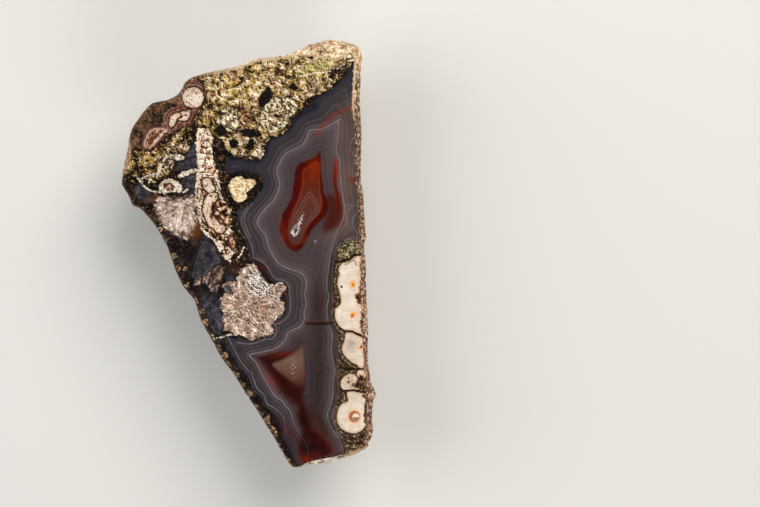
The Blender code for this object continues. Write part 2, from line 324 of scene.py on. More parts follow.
LENS = [
    (144, 147), (144, 142), (148, 133), (152, 129.5), (158, 128), (165, 129), (163, 135),
    (158, 141), (153, 146), (148, 150),
]
MOSS_MAIN = [
    (200, 71), (215, 67), (232, 63), (245, 60), (257, 55), (270, 53), (284, 50),
    (296, 47), (306, 45), (320, 46), (335, 48), (356, 50), (345, 70), (338, 78), (334, 83),
    (322, 92), (306, 98), (301, 106), (298, 112), (290, 117.5), (288, 125), (280, 133),
    (270, 135), (266, 140), (264, 149), (260, 156), (249, 158), (239, 156), (231, 151),
    (226, 144), (222, 138), (214, 134), (206, 132), (198, 128), (196, 120), (200, 112),
    (206, 104), (208, 95), (205, 86),
]
MOSS_LEFT = [
    (131, 156), (138, 150), (150, 153), (160, 146), (168, 139), (178, 133), (188, 128),
    (194, 133), (191, 141), (187, 150), (180, 155), (174, 162), (170, 170), (162, 175),
    (156, 181), (148, 180), (140, 177), (132, 180), (127, 172), (128, 163),
]
HOLES = [
    [(258, 100), (262, 92), (268, 86), (272, 90), (273, 97), (270, 102), (264, 107),
     (260, 108)],
    [(229, 141), (234, 139), (239, 142), (238, 147), (233, 148), (229, 145)],
    [(247, 142), (252, 139), (255, 143), (253, 149), (249, 150), (246, 146)],
    [(240, 131), (248, 128), (258, 131), (261, 136), (254, 138), (246, 137)],
    [(276, 112), (281, 110), (284, 114), (280, 118), (276, 117)],
    [(288, 86), (293, 83), (297, 87), (293, 91)],
    [(216, 128), (222, 124), (227, 130), (223, 136), (217, 134)],
]
GREEN_LENS = [
    (297, 74), (302, 68), (310, 62.5), (318, 60.5), (326, 60.5), (330, 64), (330, 68),
    (325, 71), (316, 71.5), (308, 74), (300, 76),
]
LOBE = [
    (264, 108), (270, 101), (279, 97), (288, 98), (296, 103), (297, 110), (290, 117),
    (286, 125), (278, 131), (269, 131), (262, 124), (261, 115),
]
PALE_LOBE = [
    (221, 113), (226, 108), (233, 110), (237, 117), (238, 126), (234, 131), (228, 131),
    (223, 124),
]
SPRAY_BIG = [
    (242, 268.7), (253.5, 264), (258, 270), (260.4, 275), (266.5, 282), (275, 286),
    (281, 283), (285, 287), (282.6, 293), (280, 300), (285, 306.6), (282, 315), (275, 319),
    (272, 323.5), (273.4, 331), (269, 335), (259, 337), (250.5, 339.5), (243.6, 336.5),
    (233, 332.7), (224.4, 329.6), (223.7, 321), (223, 311), (220.6, 300), (224.4, 293),
    (223.7, 286), (228, 283), (236, 280.6), (239, 273),
]
SPRAY_UPPER = [
    (158, 198), (166, 197), (180, 198), (195, 196), (196, 205), (195, 212), (198, 222),
    (191, 236), (183, 239), (178, 234), (172, 233), (167, 228), (160, 222), (157, 214),
    (155, 207),
]
SPRAY_SMALL = [
    (208, 274), (215, 268), (222, 266), (224, 272), (221, 280), (218, 288), (216, 293),
    (210, 290), (207, 285), (200, 284), (193, 286), (196, 280),
]
POCKETS = [
    [(190, 142), (196, 143), (198.5, 149), (199, 155), (199, 163), (197, 169), (185, 170),
     (178, 168), (176, 163), (184, 161), (186, 155), (188, 149)],
    [(203, 242), (210, 244), (214, 248), (216, 254), (219, 258), (220, 262), (214, 264),
     (210, 268), (204, 274), (198, 276), (193, 276), (195, 270), (197, 262), (199, 255),
     (201, 250)],
    [(204, 296), (212, 297), (219, 301), (221, 312), (222, 324), (222, 332), (216, 333),
     (211, 326), (206, 314), (202, 304)],
    [(226, 277), (231, 276), (236, 279), (234, 283), (229, 283)],
    [(136, 186), (142, 184), (148, 190), (153, 197), (148, 203), (141, 200), (136, 194)],
    [(184, 178), (193, 176), (196, 184), (195, 193), (188, 193), (184, 187)],
    [(222, 240), (214, 236), (206, 238), (203, 236), (206, 233), (213, 232)],
]
CRYSTAL = [(223, 287), (228, 285), (233, 291), (231, 294.5), (226, 293)]
TUBE_MANTLE = [
    (364, 246), (356, 242), (348, 243), (340, 247), (334, 252), (332, 262), (331, 275),
    (331, 290), (331, 302), (330, 312), (332, 322), (336, 332), (336, 345), (336, 358),
    (336, 372), (337, 390), (336, 398), (334, 405), (332, 413), (332.5, 421), (336, 429),
    (341, 437), (344, 447), (350, 452), (362, 447), (369, 440), (370, 430), (370, 400),
    (368, 370), (367, 330), (366, 290), (365, 262),
]
OLIVE_FAN = [
    (338, 252), (341, 245), (348, 240), (356, 239), (362, 242), (361, 250), (352, 256),
    (343, 260),
]
# Crust flecks near the left edge: x, y and half width
FLECKS = [
    (174, 256, 2.5), (178, 268, 2.5), (184, 253, 0), (185, 269, 2.2), (187, 285, 2.6),
    (196, 302, 2.4), (202, 312, 2.4), (205, 323, 4), (211, 337, 2.6), (219.5, 348, 2.6),
    (225, 356, 3.6), (228, 364, 2.4), (236, 374, 3.2), (243, 385, 2.2), (249, 393, 3),
    (256, 406, 2), (260, 414, 2), (267, 421, 3.2), (271, 429, 3.4), (268, 417, 2.2),
    (275, 434, 2.6), (278, 446, 2.2), (287, 462, 2.4), (166, 240, 2.2), (160, 229, 2.6),
]

# The outlines that make each field of depths
OUTLINES = {
    "wall": [WALL], "band": [BAND_LEFT + [(325, 457)] + BAND_RIGHT[::-1]],
    "eye": [EYE_OUTER], "eye_in": [EYE_INNER], "veil": [EYE_VEIL], "streak": [STREAK],
    "maroon": [MAROON], "low_red": [LOW_RED], "low_core": [LOW_CORE],
    "red_foot": [RED_FOOT], "tube": TUBES, "stick": STICKS, "cream": [CREAM],
    "column": [COLUMN], "shade": [COLUMN_SHADE], "cavity": [CAVITY],
    "bead": [BEAD, STICK_HOLES[0]], "brown": [BROWN], "lens": [LENS],
    "moss": [MOSS_MAIN, MOSS_LEFT], "hole": HOLES, "green": [GREEN_LENS],
    "lobe": [LOBE, PALE_LOBE], "spray_big": [SPRAY_BIG], "spray_upper": [SPRAY_UPPER],
    "spray_small": [SPRAY_SMALL], "pocket": POCKETS, "crystal": [CRYSTAL],
    "mantle": [TUBE_MANTLE], "fan": [OLIVE_FAN],
}
# Places that a field of distances is measured from
CENTRES = {"fan_way": (352, 262), "ring": (354.5, 416.5), "bore": (356, 417.2)}
# Lines drawn over the rest, each with its strength
LINES = {
    "pale": [(BAND_LEFT, 1), (BAND_RIGHT, 0.75), (SPRAY_LINE, 0.8), (SLOPE_LINE, 0.85),
             (FOOT_LINE, 0.6), (TUBE_LINE, 0.6)]
            + [(line, 0.55) for line in EDGE_LINES]
            + [(line, 0.28) for line in POCKET_LINES]
            + [(line, 0.6) for line in COLUMN_LINES],
    "white": [
        ([(139, 180), (145, 187), (151, 190.5), (158, 192)], 1),
        ([(140, 180), (147, 176), (155, 173)], 0.8),
        ([(157, 176), (160, 166), (166, 158), (174, 155)], 0.8),
        ([(150, 181), (154, 176), (163, 170), (170, 163)], 0.8),
        ([(163, 192), (166, 195.5)], 0.8), ([(180, 192), (183, 192.5), (186, 190.5)], 0.9),
        ([(338, 68), (343, 64.5), (349, 61), (355, 60)], 1),
        ([(301, 76), (308, 75), (316, 72.5), (325, 72.5), (333, 69), (340, 66)], 1),
        ([(299, 68), (306, 64), (313, 60.5), (321, 57.5)], 0.6),
        ([(218, 240), (223, 250), (226, 257), (229, 260)], 1.3),
        ([(201, 228), (207, 235), (214, 240), (219, 249)], 1.3),
        ([(226, 257), (233, 253)], 0.9), ([(238, 258), (241, 254), (243, 249)], 1.2),
        ([(216, 338.5), (222, 337), (228, 335), (233, 334.5)], 0.9),
        ([(166, 131), (158, 138), (151, 146)], 0.8),
        ([(198, 134), (196.5, 150), (199, 162), (197.5, 176), (196, 190), (197.5, 205),
          (199, 215), (201, 226)], 0.75),
        ([(274, 288), (277, 284), (281, 283)], 0.8),
    ],
    "dark": [
        ([(200, 112), (196, 120), (192, 127), (188, 133)], 0.9),
        ([(203, 111), (198, 120), (193, 129)], 0.6),
        ([(338, 262.5), (345, 260), (349, 259), (353, 255.5), (357, 255), (362, 255.5)], 1.5),
        ([(347, 264), (351, 262), (354, 260), (355.5, 263)], 0.6),
        ([(341, 328.5), (345, 330.7), (352, 331), (357, 334), (362, 336), (367, 336)], 1),
        ([(342, 390), (346, 390.5), (355, 390), (362, 392), (368, 391)], 1),
        ([(341, 368), (348, 368.5), (356, 369), (366, 369)], 1.1),
        ([(295, 70), (303, 66), (311, 61.5), (320, 58.5)], 0.9),
        ([(308, 323.4), (320, 323.2), (331, 322.8)], 1),
        ([(309, 324.6), (320, 324.6), (330, 324.2)], 0.8),
        ([(218, 330), (224, 333), (228, 332)], 0.8),
        ([(249, 320), (255, 326), (262, 331)], 0.7),
        ([(197.5, 190), (197, 200), (198, 208)], 0.9),
        ([(215, 180), (219, 188), (224, 195)], 0.7),
    ],
    "rust": [
        ([(307, 322), (312, 321.6), (320, 321.2), (330, 321.4)], 0.9),
        ([(317, 368.5), (322, 368.2), (329, 368.6)], 0.8),
        ([(366, 385), (367, 395), (367, 405), (366.8, 415), (367.5, 427)], 1.1),
        ([(305, 322), (306, 330)], 0.5),
    ],
}
# Soft spots: centre x and y, half width, half height, strength, any turn in degrees
SPOTS = {
    "crimson": [
        (265, 268, 4, 9, 0.4, -30), (258, 266, 5, 6, 0.3), (286, 292, 3, 7, 0.4),
        (290, 396, 6, 16, 0.5, -45), (304, 418, 5, 10, 0.8), (318, 440, 5, 14, 0.8, -30),
        (309, 458, 7, 6, 1.2), (332, 452, 8, 7, 0.5), (284, 428, 4, 12, 0.5, -30),
        (352, 180, 5, 3, 0.5), (272, 258, 4, 3, 0.3, 30), (296, 440, 5, 14, 0.5, -30),
        (327, 217, 3, 4, 0.4), (300, 341, 5, 3, 0.2), (321, 300, 9, 12, 0.18),
        (262, 361, 5, 9, 0.5, -35)],
    "orange": [
        (313, 172, 6, 12, 1, 10), (316, 165, 5, 5, 0.6), (320, 430, 4, 14, 0.22, -25),
        (337, 167, 2, 8, 0.5), (270, 380, 4, 10, 0.6, -35), (283, 354, 10, 3, 0.55, -10),
        (330, 444, 4, 10, 0.15, -30), (306, 459, 7, 4, 0.9), (351, 177, 4.5, 1.8, 1, -15),
        (353, 182, 2.5, 2.5, 0.7), (284, 236, 3, 8, 0.7), (281, 225, 3, 5, 0.5),
        (304, 240, 2, 5, 0.5, 20), (292, 246, 6, 2, 0.3, 20)],
    "navy": [
        (310, 112, 14, 10, 0.9, -30), (328, 96, 14, 8, 0.9, -25), (349, 74, 7, 16, 0.9),
        (290, 134, 12, 8, 0.8, -30), (272, 150, 8, 12, 0.8), (250, 168, 20, 7, 1),
        (266, 184, 8, 14, 0.8), (249, 206, 10, 8, 1, -30), (236, 347, 6, 12, 0.9, -30),
        (252, 372, 5, 16, 0.9, -32), (268, 398, 5, 18, 1, -35), (282, 424, 5, 14, 1, -25),
        (292, 450, 6, 14, 1, -25), (226, 172, 6, 5, 0.6)],
    "warm": [
        (345, 130, 10, 22, 0.6), (348, 180, 9, 30, 0.9), (346, 225, 10, 14, 0.8),
        (330, 155, 5, 25, 0.25), (350, 105, 6, 10, 0.5), (284, 216, 9, 24, 0.2),
        (302, 276, 20, 20, 0.15), (260, 262, 6, 5, 0.5), (326, 238, 12, 8, 0.4)],
    "dim": [
        (318, 380, 11, 58, 0.8), (322, 300, 9, 40, 0.6), (312, 300, 8, 24, 0.35),
        (316, 432, 12, 22, 0.6, -15), (290, 405, 7, 24, 0.35, -30), (296, 345, 8, 10, 0.3),
        (325, 200, 8, 30, 0.1), (304, 425, 10, 25, 0.6, -10), (330, 440, 12, 20, 0.5, -20),
        (270, 345, 12, 5, 0.15), (254, 366, 5, 14, 0.45, -32)],
    "peach": [
        (214, 207, 9, 8, 0.8), (216, 226, 9, 6, 0.7), (179, 116, 7, 5, 0.8),
        (192, 99, 6, 6, 0.35), (359, 262, 5, 14, 0.7), (360, 300, 5, 20, 0.8),
        (362, 373, 4, 4, 1), (350, 382, 7, 6, 0.5), (354, 417, 8, 8, 0.45),
        (342, 298, 4, 10, 0.2), (359, 320, 5, 14, 0.6), (361, 346, 4, 10, 0.6)],
    "core": [
        (353, 285, 3, 3.6, 1.1), (352.5, 315, 3, 3, 1.1), (360.5, 348, 2.2, 2.2, 1),
        (357, 313, 4, 2.6, 0.4, -25), (354, 279, 3, 4, 0.35), (226.7, 226, 1.8, 2.6, 1.1)],
    "core_dark": [
        (352, 316.5, 1.1, 1.2, 1), (341.5, 286.5, 1.1, 1.6, 1.3, -20),
        (354, 290, 2, 1.3, 0.5, -30), (357.5, 297, 3.2, 5, 0.9, -15),
        (359.5, 302, 1.6, 2.4, 0.8), (357, 306, 1.2, 1.2, 0.6), (347.5, 264, 1, 1, 0.6),
        (361, 347, 1, 1.2, 1.1), (348.5, 382, 1, 1, 0.9), (353, 384, 1.2, 1, 0.8),
        (357, 385, 1.4, 3, 0.9), (363, 384, 4, 6, 1), (190, 99, 1, 1, 0.6),
        (194, 103, 1.2, 1, 0.7), (187, 95, 0.9, 0.9, 0.5), (197, 93, 0.8, 0.8, 0.5),
        (181, 117, 3.5, 1.6, 1, -30), (177, 120, 1.5, 2, 0.8), (186, 115, 1.8, 1.2, 0.9),
        (211, 196, 2, 1.6, 0.8), (206, 224, 2, 3, 0.8, 30), (212, 216, 3, 3.5, 0.8),
        (356.5, 346, 2.6, 3, 0.28), (361.5, 288, 2.6, 10, 0.85), (362.5, 322, 2.8, 13, 0.9),
        (366, 354, 2.5, 8, 0.9), (361, 268, 2.2, 8, 0.7), (365, 418, 2.2, 10, 0.7),
        (349, 380, 6, 6, 0.38), (360, 374, 3, 4, 0.3), (354, 387, 4, 2.4, 0.5),
        (361, 381, 3.5, 5, 0.9), (348, 257.5, 4, 1.6, 0.8, -20), (345, 396, 3, 2, 0.4),
        (169, 186.5, 2.2, 1.8, 1.2), (364, 396, 3, 2.5, 0.8), (366, 407, 1.6, 9, 0.8)],
    "ash": [
        (351, 344, 7, 9, 1), (349, 382, 8, 7, 0.8), (345, 417, 6, 12, 0.25),
        (355, 358, 6, 6, 0.3), (353, 396, 6, 4, 0.5), (360, 300, 4, 14, 0.2)],
    "bright": [
        (238, 90, 34, 22, 1), (290, 72, 26, 12, 0.5, -8), (318, 62, 22, 8, 0.6, -5)],
    "sooty": [
        (217, 243, 8, 12, 1, -30), (225, 215, 5, 12, 0.5, -15), (206, 152, 4, 7, 0.5)],
    "salt": [
        (258, 283, 14, 15, 1.1), (276, 300, 7, 10, 0.35)],
    "yellow": [
        (150, 160, 12, 14, 0.6), (165, 145, 14, 8, 0.5, -30), (145, 170, 6, 7, 0.9),
        (204, 124, 9, 12, 0.6), (208, 140, 6, 14, 0.6), (235, 88, 26, 14, 0.45),
        (250, 152, 14, 7, 0.6), (300, 82, 12, 9, 0.4), (220, 145, 8, 10, 0.6),
        (272, 120, 7, 10, 0.5), (318, 74, 16, 6, 0.5, -5), (235, 95, 14, 10, 0.3)],
    "pale_moss": [
        (230, 120, 9, 11, 1), (310, 92, 14, 10, 0.6, -20), (283, 105, 10, 8, 0.5),
        (330, 78, 10, 8, 0.5), (180, 150, 10, 6, 1.1, -20), (165, 165, 10, 8, 0.9, -30),
        (236, 140, 12, 8, 0.8), (285, 62, 22, 5, 0.5, -8), (261, 148, 6, 9, 1.3),
        (234, 152, 6, 5, 1), (247, 155, 6, 4, 0.9), (200, 160, 5, 16, 0.6),
        (198, 215, 4, 25, 0.7, 5), (208, 82, 10, 6, 0.3)],
    "rusty": [
        (245, 119, 6, 12, 0.9), (206, 150, 4, 8, 0.8), (208, 166, 6, 8, 0.5),
        (277, 72, 10, 5, 0.5, -10), (318, 48, 30, 6, 0.35, -5), (138, 203, 6, 4, 0.9),
        (152, 190, 4, 4, 0.3), (235, 76, 10, 5, 0.3), (152, 140, 2.2, 9, 1.1, 42)],
    "bare": [
        (343, 76, 7, 12, 0.9, -10), (322, 86, 8, 6, 0.3, -20), (245, 135, 16, 5, 0.3),
        (256, 122, 4, 12, 0.5), (212, 118, 5, 8, 0.4), (134, 178, 8, 8, 0.4),
        (158, 184, 10, 5, 0.4), (190, 163, 8, 8, 0.5)],
    "amber": [
        (196, 231, 5, 8, 1.2, 10), (234, 270, 7, 4.5, 0.4), (152, 199, 6, 2.6, 1, -20),
        (272, 321, 3, 2.5, 0.5)],
    "glint": [
        (293, 369, 4, 9, 0.7, -5), (293, 377, 2.5, 4, 0.4), (301, 219, 1.3, 5, 3, 25),
        (315, 241.5, 1.2, 1.4, 3), (299, 224, 1.7, 4, 3.4, 30)],
}


# Curves and distances, in pixels of the photograph

def smooth_curve(points, closed, step=SAMPLE_STEP):
    """Evenly spaced points along a smooth curve through the given ones."""
    points = np.array(points, float)
    count = len(points)
    shares = np.linspace(0.0, 1.0, CURVE_SHARES, endpoint=False)[:, None]
    dense = []
    for i in range(count if closed else count - 1):
        picks = np.arange(i - 1, i + 3)
        picks = picks % count if closed else picks.clip(0, count - 1)
        before, start, end, after = points[picks]
        dense.append(0.5 * (2 * start + (end - before) * shares
                            + (2 * before - 5 * start + 4 * end - after) * shares ** 2
                            + (3 * start - before - 3 * end + after) * shares ** 3))
    dense = np.concatenate(dense + [points[:1] if closed else points[-1:]])
    strides = np.linalg.norm(np.diff(dense[:, :2], axis=0), axis=1)
    along = np.concatenate([[0.0], np.cumsum(strides)])
    number = max(4, int(along[-1] / step))
    wanted = np.linspace(0.0, along[-1], number, endpoint=not closed)
    return np.stack([np.interp(wanted, along, dense[:, k])
                     for k in range(points.shape[1])], axis=1)


def nearest(places, curve):
    """For each place the index of the curve's nearest point, and the distance to it."""
    low = curve.min(axis=0) - FAR
    high = curve.max(axis=0) + FAR
    close = np.all((places >= low) & (places <= high), axis=1)
    tree = kdtree.KDTree(len(curve))
    for i, point in enumerate(curve):
        tree.insert((point[0], point[1], 0.0), i)
    tree.balance()
    index = np.zeros(len(places), int)
    distance = np.full(len(places), FAR)
    for i in np.flatnonzero(close):
        found = tree.find((places[i, 0], places[i, 1], 0.0))
        index[i] = found[1]
        distance[i] = found[2]
    return index, np.minimum(distance, FAR)


def inside(places, curve):
    """True for each place inside a closed curve."""
    within = np.zeros(len(places), bool)
    low, high = curve.min(axis=0), curve.max(axis=0)
    close = np.flatnonzero(np.all((places >= low) & (places <= high), axis=1))
    x, y = places[close, 0], places[close, 1]
    crossed = np.zeros(len(close), bool)
    following = np.roll(curve, -1, axis=0)
    for (x0, y0), (x1, y1) in zip(curve, following):
        if y0 == y1:
            continue
        crossing = (y0 > y) != (y1 > y)
        crossed ^= crossing & (x < (x1 - x0) * (y - y0) / (y1 - y0) + x0)
    within[close] = crossed
    return within


def depth_in(places, *outlines):
    """Distance inside the nearest of some closed outlines: positive in, negative out."""
    best = np.full(len(places), -FAR)
    for outline in outlines:
        curve = smooth_curve(outline, True)
        _, distance = nearest(places, curve)
        coarse = smooth_curve(outline, True, step=INSIDE_STEP)
        best = np.maximum(best, np.where(inside(places, coarse), distance, -distance))
    return best


def beside(places, lines):
    """For open lines of (points, weight): the distance to one side of the nearest line,
    the plain distance to it, and its weight."""
    side = np.full(len(places), FAR)
    gap = np.full(len(places), FAR)
    weight = np.zeros(len(places))
    for points, strength in lines:
        curve = smooth_curve(points, False)
        index, distance = nearest(places, curve)
        tangent = np.gradient(curve, axis=0)
        tangent /= np.linalg.norm(tangent, axis=1)[:, None]
        offset = places - curve[index]
        across = tangent[index, 0] * offset[:, 1] - tangent[index, 1] * offset[:, 0]
        nearer = distance < gap
        side[nearer] = across[nearer]
        gap[nearer] = distance[nearer]
        weight[nearer] = strength
    return side, gap, weight


def away(places, x, y):
    """Distance of each place from a point."""
    return np.hypot(places[:, 0] - x, places[:, 1] - y)


def glow(places, spots):
    """The sum of soft spots, each laid out as in SPOTS."""
    total = np.zeros(len(places))
    for x, y, wide, high, strength, *turn in spots:
        angle = math.radians(sum(turn))
        dx, dy = places[:, 0] - x, places[:, 1] - y
        along = (dx * math.cos(angle) + dy * math.sin(angle)) / wide
        over = (dy * math.cos(angle) - dx * math.sin(angle)) / high
        total += strength * np.exp(-(along ** 2 + over ** 2))
    return total


# The stone's shape: rings from the edge of the cut down to the resting spot

def keel_points(curve):
    """The nearest point of the keel to each point."""
    start, end = (np.array([x * PIXEL, -y * PIXEL]) for x, y in KEEL)
    span = end - start
    share = np.clip((curve - start) @ span / (span @ span), 0.0, 1.0)
    return start + share[:, None] * span


def smooth_rings():
    """The smooth rings, each point's room inside the outline, and its depth below the
    widest ring."""
    traced = smooth_curve(OUTLINE, True, step=OUTLINE_STEP)
    picks = np.linspace(0, len(traced), POINTS_AROUND, endpoint=False).astype(int)
    traced = traced[picks]
    outline = np.stack([traced[:, 0] * PIXEL, -traced[:, 1] * PIXEL], axis=1)
    tangent = (np.roll(outline, -TANGENT_REACH, axis=0)
               - np.roll(outline, TANGENT_REACH, axis=0))
    into = np.stack([tangent[:, 1], -tangent[:, 0]], axis=1)
    into /= np.linalg.norm(into, axis=1)[:, None]
    rim = traced[:, 2] * PIXEL
    keel = keel_points(outline)
    widest = WIDEST_DEPTH + WIDEST_PER_RIM * rim
    reach = np.linalg.norm(outline - keel, axis=1)
    leanness = BACK_ROUNDNESS + TIP_LEANNESS * np.clip(reach / TIP_REACH - 0.5, 0.0, 1.0)
    rings, room, below = [], [], []
    for step in range(RIM_RINGS):
        angle = EDGE_SLOPE + (math.pi / 2 - EDGE_SLOPE) * step / RIM_RINGS
        out = (math.sin(angle) - math.sin(EDGE_SLOPE)) / (1.0 - math.sin(EDGE_SLOPE))
        down = (math.cos(EDGE_SLOPE) - math.cos(angle)) / math.cos(EDGE_SLOPE)
        place = outline + into * (rim * (1.0 - out))[:, None]
        rings.append(np.column_stack([place, HALF_HEIGHT - widest * down]))
        room.append(rim * (1.0 - out))
        below.append(np.zeros(POINTS_AROUND))
    for step in range(BACK_RINGS + 1):
        angle = CLOSING_ANGLE * step / BACK_RINGS
        share = math.cos(angle) ** leanness
        depth = widest + (FULL_DEPTH - widest) * math.sin(angle)
        place = keel + (outline - keel) * share[:, None]
        rings.append(np.column_stack([place, HALF_HEIGHT - depth]))
        room.append(reach * (1.0 - share))
        below.append(depth - widest)
    return np.array(rings), np.array(room), np.array(below)


def rind_relief(point):
    """How far the rind stands out at a place: swells, lumps and ridges, less its pits."""
    swell, lump, ridge, pit = (point / size + Vector(shift)
                               for _, size, shift in (SWELLS, LUMPS, RIDGES, PITS))
    ridge = 1.0 - abs(noise.noise(ridge)) * RIDGE_SHARPNESS
    pit = max(0.0, 1.0 - (noise.voronoi(pit)[0][0] / PIT_RADIUS) ** 2)
    return (SWELLS[0] * noise.noise(swell) + LUMPS[0] * noise.noise(lump)
            + RIDGES[0] * max(0.0, ridge) ** 3 - PITS[0] * pit)


def shape_rind(rings, room, below):
    """The rings with their relief, which comes in below the widest ring and stays
    inside the stone and above the floor."""
    around = np.roll(rings, -1, axis=1) - np.roll(rings, 1, axis=1)
    down = np.gradient(rings, axis=0)
    normals = np.cross(around, down)
    normals /= np.linalg.norm(normals, axis=2)[:, :, None]
    shaped = rings.copy()
    for i, j in np.ndindex(room.shape):
        if i == 0:
            continue
        point = Vector(rings[i, j])
        come_in = min(1.0, below[i, j] / RELIEF_DEPTH)
        height = (rind_relief(point) - RELIEF_SINK) * come_in
        fine = noise.fractal(point / GRAIN[1], *GRAIN_FRACTAL)
        height += GRAIN[0] * fine * min(1.0, i / RIM_RINGS)
        shaped[i, j] += normals[i, j] * min(height, room[i, j] * ROOM_USED)
    shaped[:, :, 2] = np.maximum(shaped[:, :, 2], 0.0)
    shaped[-1, :, 2] = 0.0
    return shaped


def to_px(places):
    """World metres to photograph pixels."""
    return np.stack([places[:, 0] / PIXEL + MIDDLE_PX[0],
                     MIDDLE_PX[1] - places[:, 1] / PIXEL], axis=1)


def in_vug(places_px):
    """Places as shares of the open hollow's half width and half height."""
    return (places_px - VUG_CENTRE) / VUG_HALF


def vug_depth(places_px):
    """How deep the open hollow is at each place of the cut."""
    dx, dy = in_vug(places_px).T
    wobble = 1.0 + VUG_WOBBLE * np.sin(VUG_CORNERS * np.arctan2(dy, dx) + VUG_TURN)
    radius = np.hypot(dx, dy) * wobble
    return VUG_DEPTH * np.sqrt(np.clip(1.0 - radius ** 2, 0.0, 1.0))


def face_grid(edge):
    """Points and square cells that fill the cut, and the triangles that join them to the
    ring around it. Indices count the ring's points first."""
    low, high = edge.min(axis=0), edge.max(axis=0)
    xs = np.arange(low[0] + FACE_STEP / 2, high[0], FACE_STEP)
    ys = np.arange(low[1] + FACE_STEP / 2, high[1], FACE_STEP)
    columns, rows = np.meshgrid(xs, ys)
    flat = np.column_stack([columns.ravel(), rows.ravel()])
    keep = inside(flat, edge) & (nearest(flat, edge)[1] >= FACE_STEP * EDGE_GAP)
    keep = keep.reshape(columns.shape)
    cells = keep[:-1, :-1] & keep[1:, :-1] & keep[:-1, 1:] & keep[1:, 1:]
    padded = np.pad(cells, 1).astype(int)
    around = padded[:-1, :-1] + padded[1:, :-1] + padded[:-1, 1:] + padded[1:, 1:]
    used = around > 0
    number = np.full(keep.shape, -1)
    number[used] = np.arange(used.sum()) + len(edge)
    points = flat[used.ravel()]
    i, j = np.nonzero(cells)
    quads = np.stack([number[i, j], number[i, j + 1], number[i + 1, j + 1],
                      number[i + 1, j]], axis=1)
    border = used & (around < 4)
    ids = np.concatenate([np.arange(len(edge)), number[border]])
    places = np.concatenate([edge, np.column_stack([columns[border], rows[border]])])
    ring = [(k, (k + 1) % len(edge)) for k in range(len(edge))]
    place_of = {v: k for k, v in enumerate(ids)}
    steps = [(place_of[a], place_of[b]) for a, b in open_sides(number, cells)]
    out = geometry.delaunay_2d_cdt([Vector(p) for p in places], ring + steps, [], 0, 1e-9)
    corners = np.array(out[2])
    middles = np.array(out[0])[corners].sum(axis=1) / 3
    column = np.floor((middles[:, 0] - xs[0]) / FACE_STEP).astype(int)
    row = np.floor((middles[:, 1] - ys[0]) / FACE_STEP).astype(int)
    good = inside(middles, edge)
    safe = (column >= 0) & (row >= 0) & (column < cells.shape[1]) & (row < cells.shape[0])
    filled = np.zeros(len(middles), bool)
    filled[safe] = cells[row[safe], column[safe]]
    source = np.array([origin[0] for origin in out[3]])
    triangles = ids[source[corners[good & ~filled]]]
    return points, quads, triangles


def open_sides(number, cells):
    """The sides of filled cells that no other filled cell shares, as pairs of points."""
    padded = np.pad(cells, 1)
    sides = []
    for i, j in zip(*np.nonzero(cells)):
        for r0, c0, r1, c1, down, across in CELL_SIDES:
            if not padded[i + 1 + down, j + 1 + across]:
                sides.append((number[i + r0, j + c0], number[i + r1, j + c1]))
    return sides


def fold_into_map(rings, edge_points, face_points):
    """Map places of the cut, which fills the left part, and how far right each ring of
    the rind lies, which is unrolled beside it."""
    low = edge_points.min(axis=0)
    span = edge_points.max(axis=0)[1] - low[1]
    scale = MAP_HEIGHT / span
    flat = np.concatenate([edge_points, face_points])
    cut = MAP_MARGIN + (flat - low) * scale
    lengths = np.linalg.norm(np.diff(rings, axis=0), axis=2).mean(axis=1)
    down = np.concatenate([[0.0], np.cumsum(lengths)]) / lengths.sum()
    return cut, RIND_MAP[0] + RIND_MAP[1] * down


def rind_faces(rings, down_map):
    """The faces between the rings and the one that closes them, with their map places."""
    count = POINTS_AROUND
    around = np.linspace(MAP_MARGIN, 1.0 - MAP_MARGIN, count + 1)
    faces, loops = [], []
    for i, j in np.ndindex(len(rings) - 1, count):
        k = (j + 1) % count
        upper, lower = i * count, (i + 1) * count
        faces.append((upper + j, upper + k, lower + k, lower + j))
        loops.append([(down_map[i], around[j]), (down_map[i], around[j + 1]),
                      (down_map[i + 1], around[j + 1]), (down_map[i + 1], around[j])])
    faces.append(tuple(range((len(rings) - 1) * count, len(rings) * count)))
    base = rings[-1, :, :2]
    low = base.min(axis=0)
    span = (base.max(axis=0) - low).max()
    loops.append(FOOT_MAP + (base - low) / span * FOOT_MAP_SIZE)
    return faces, loops


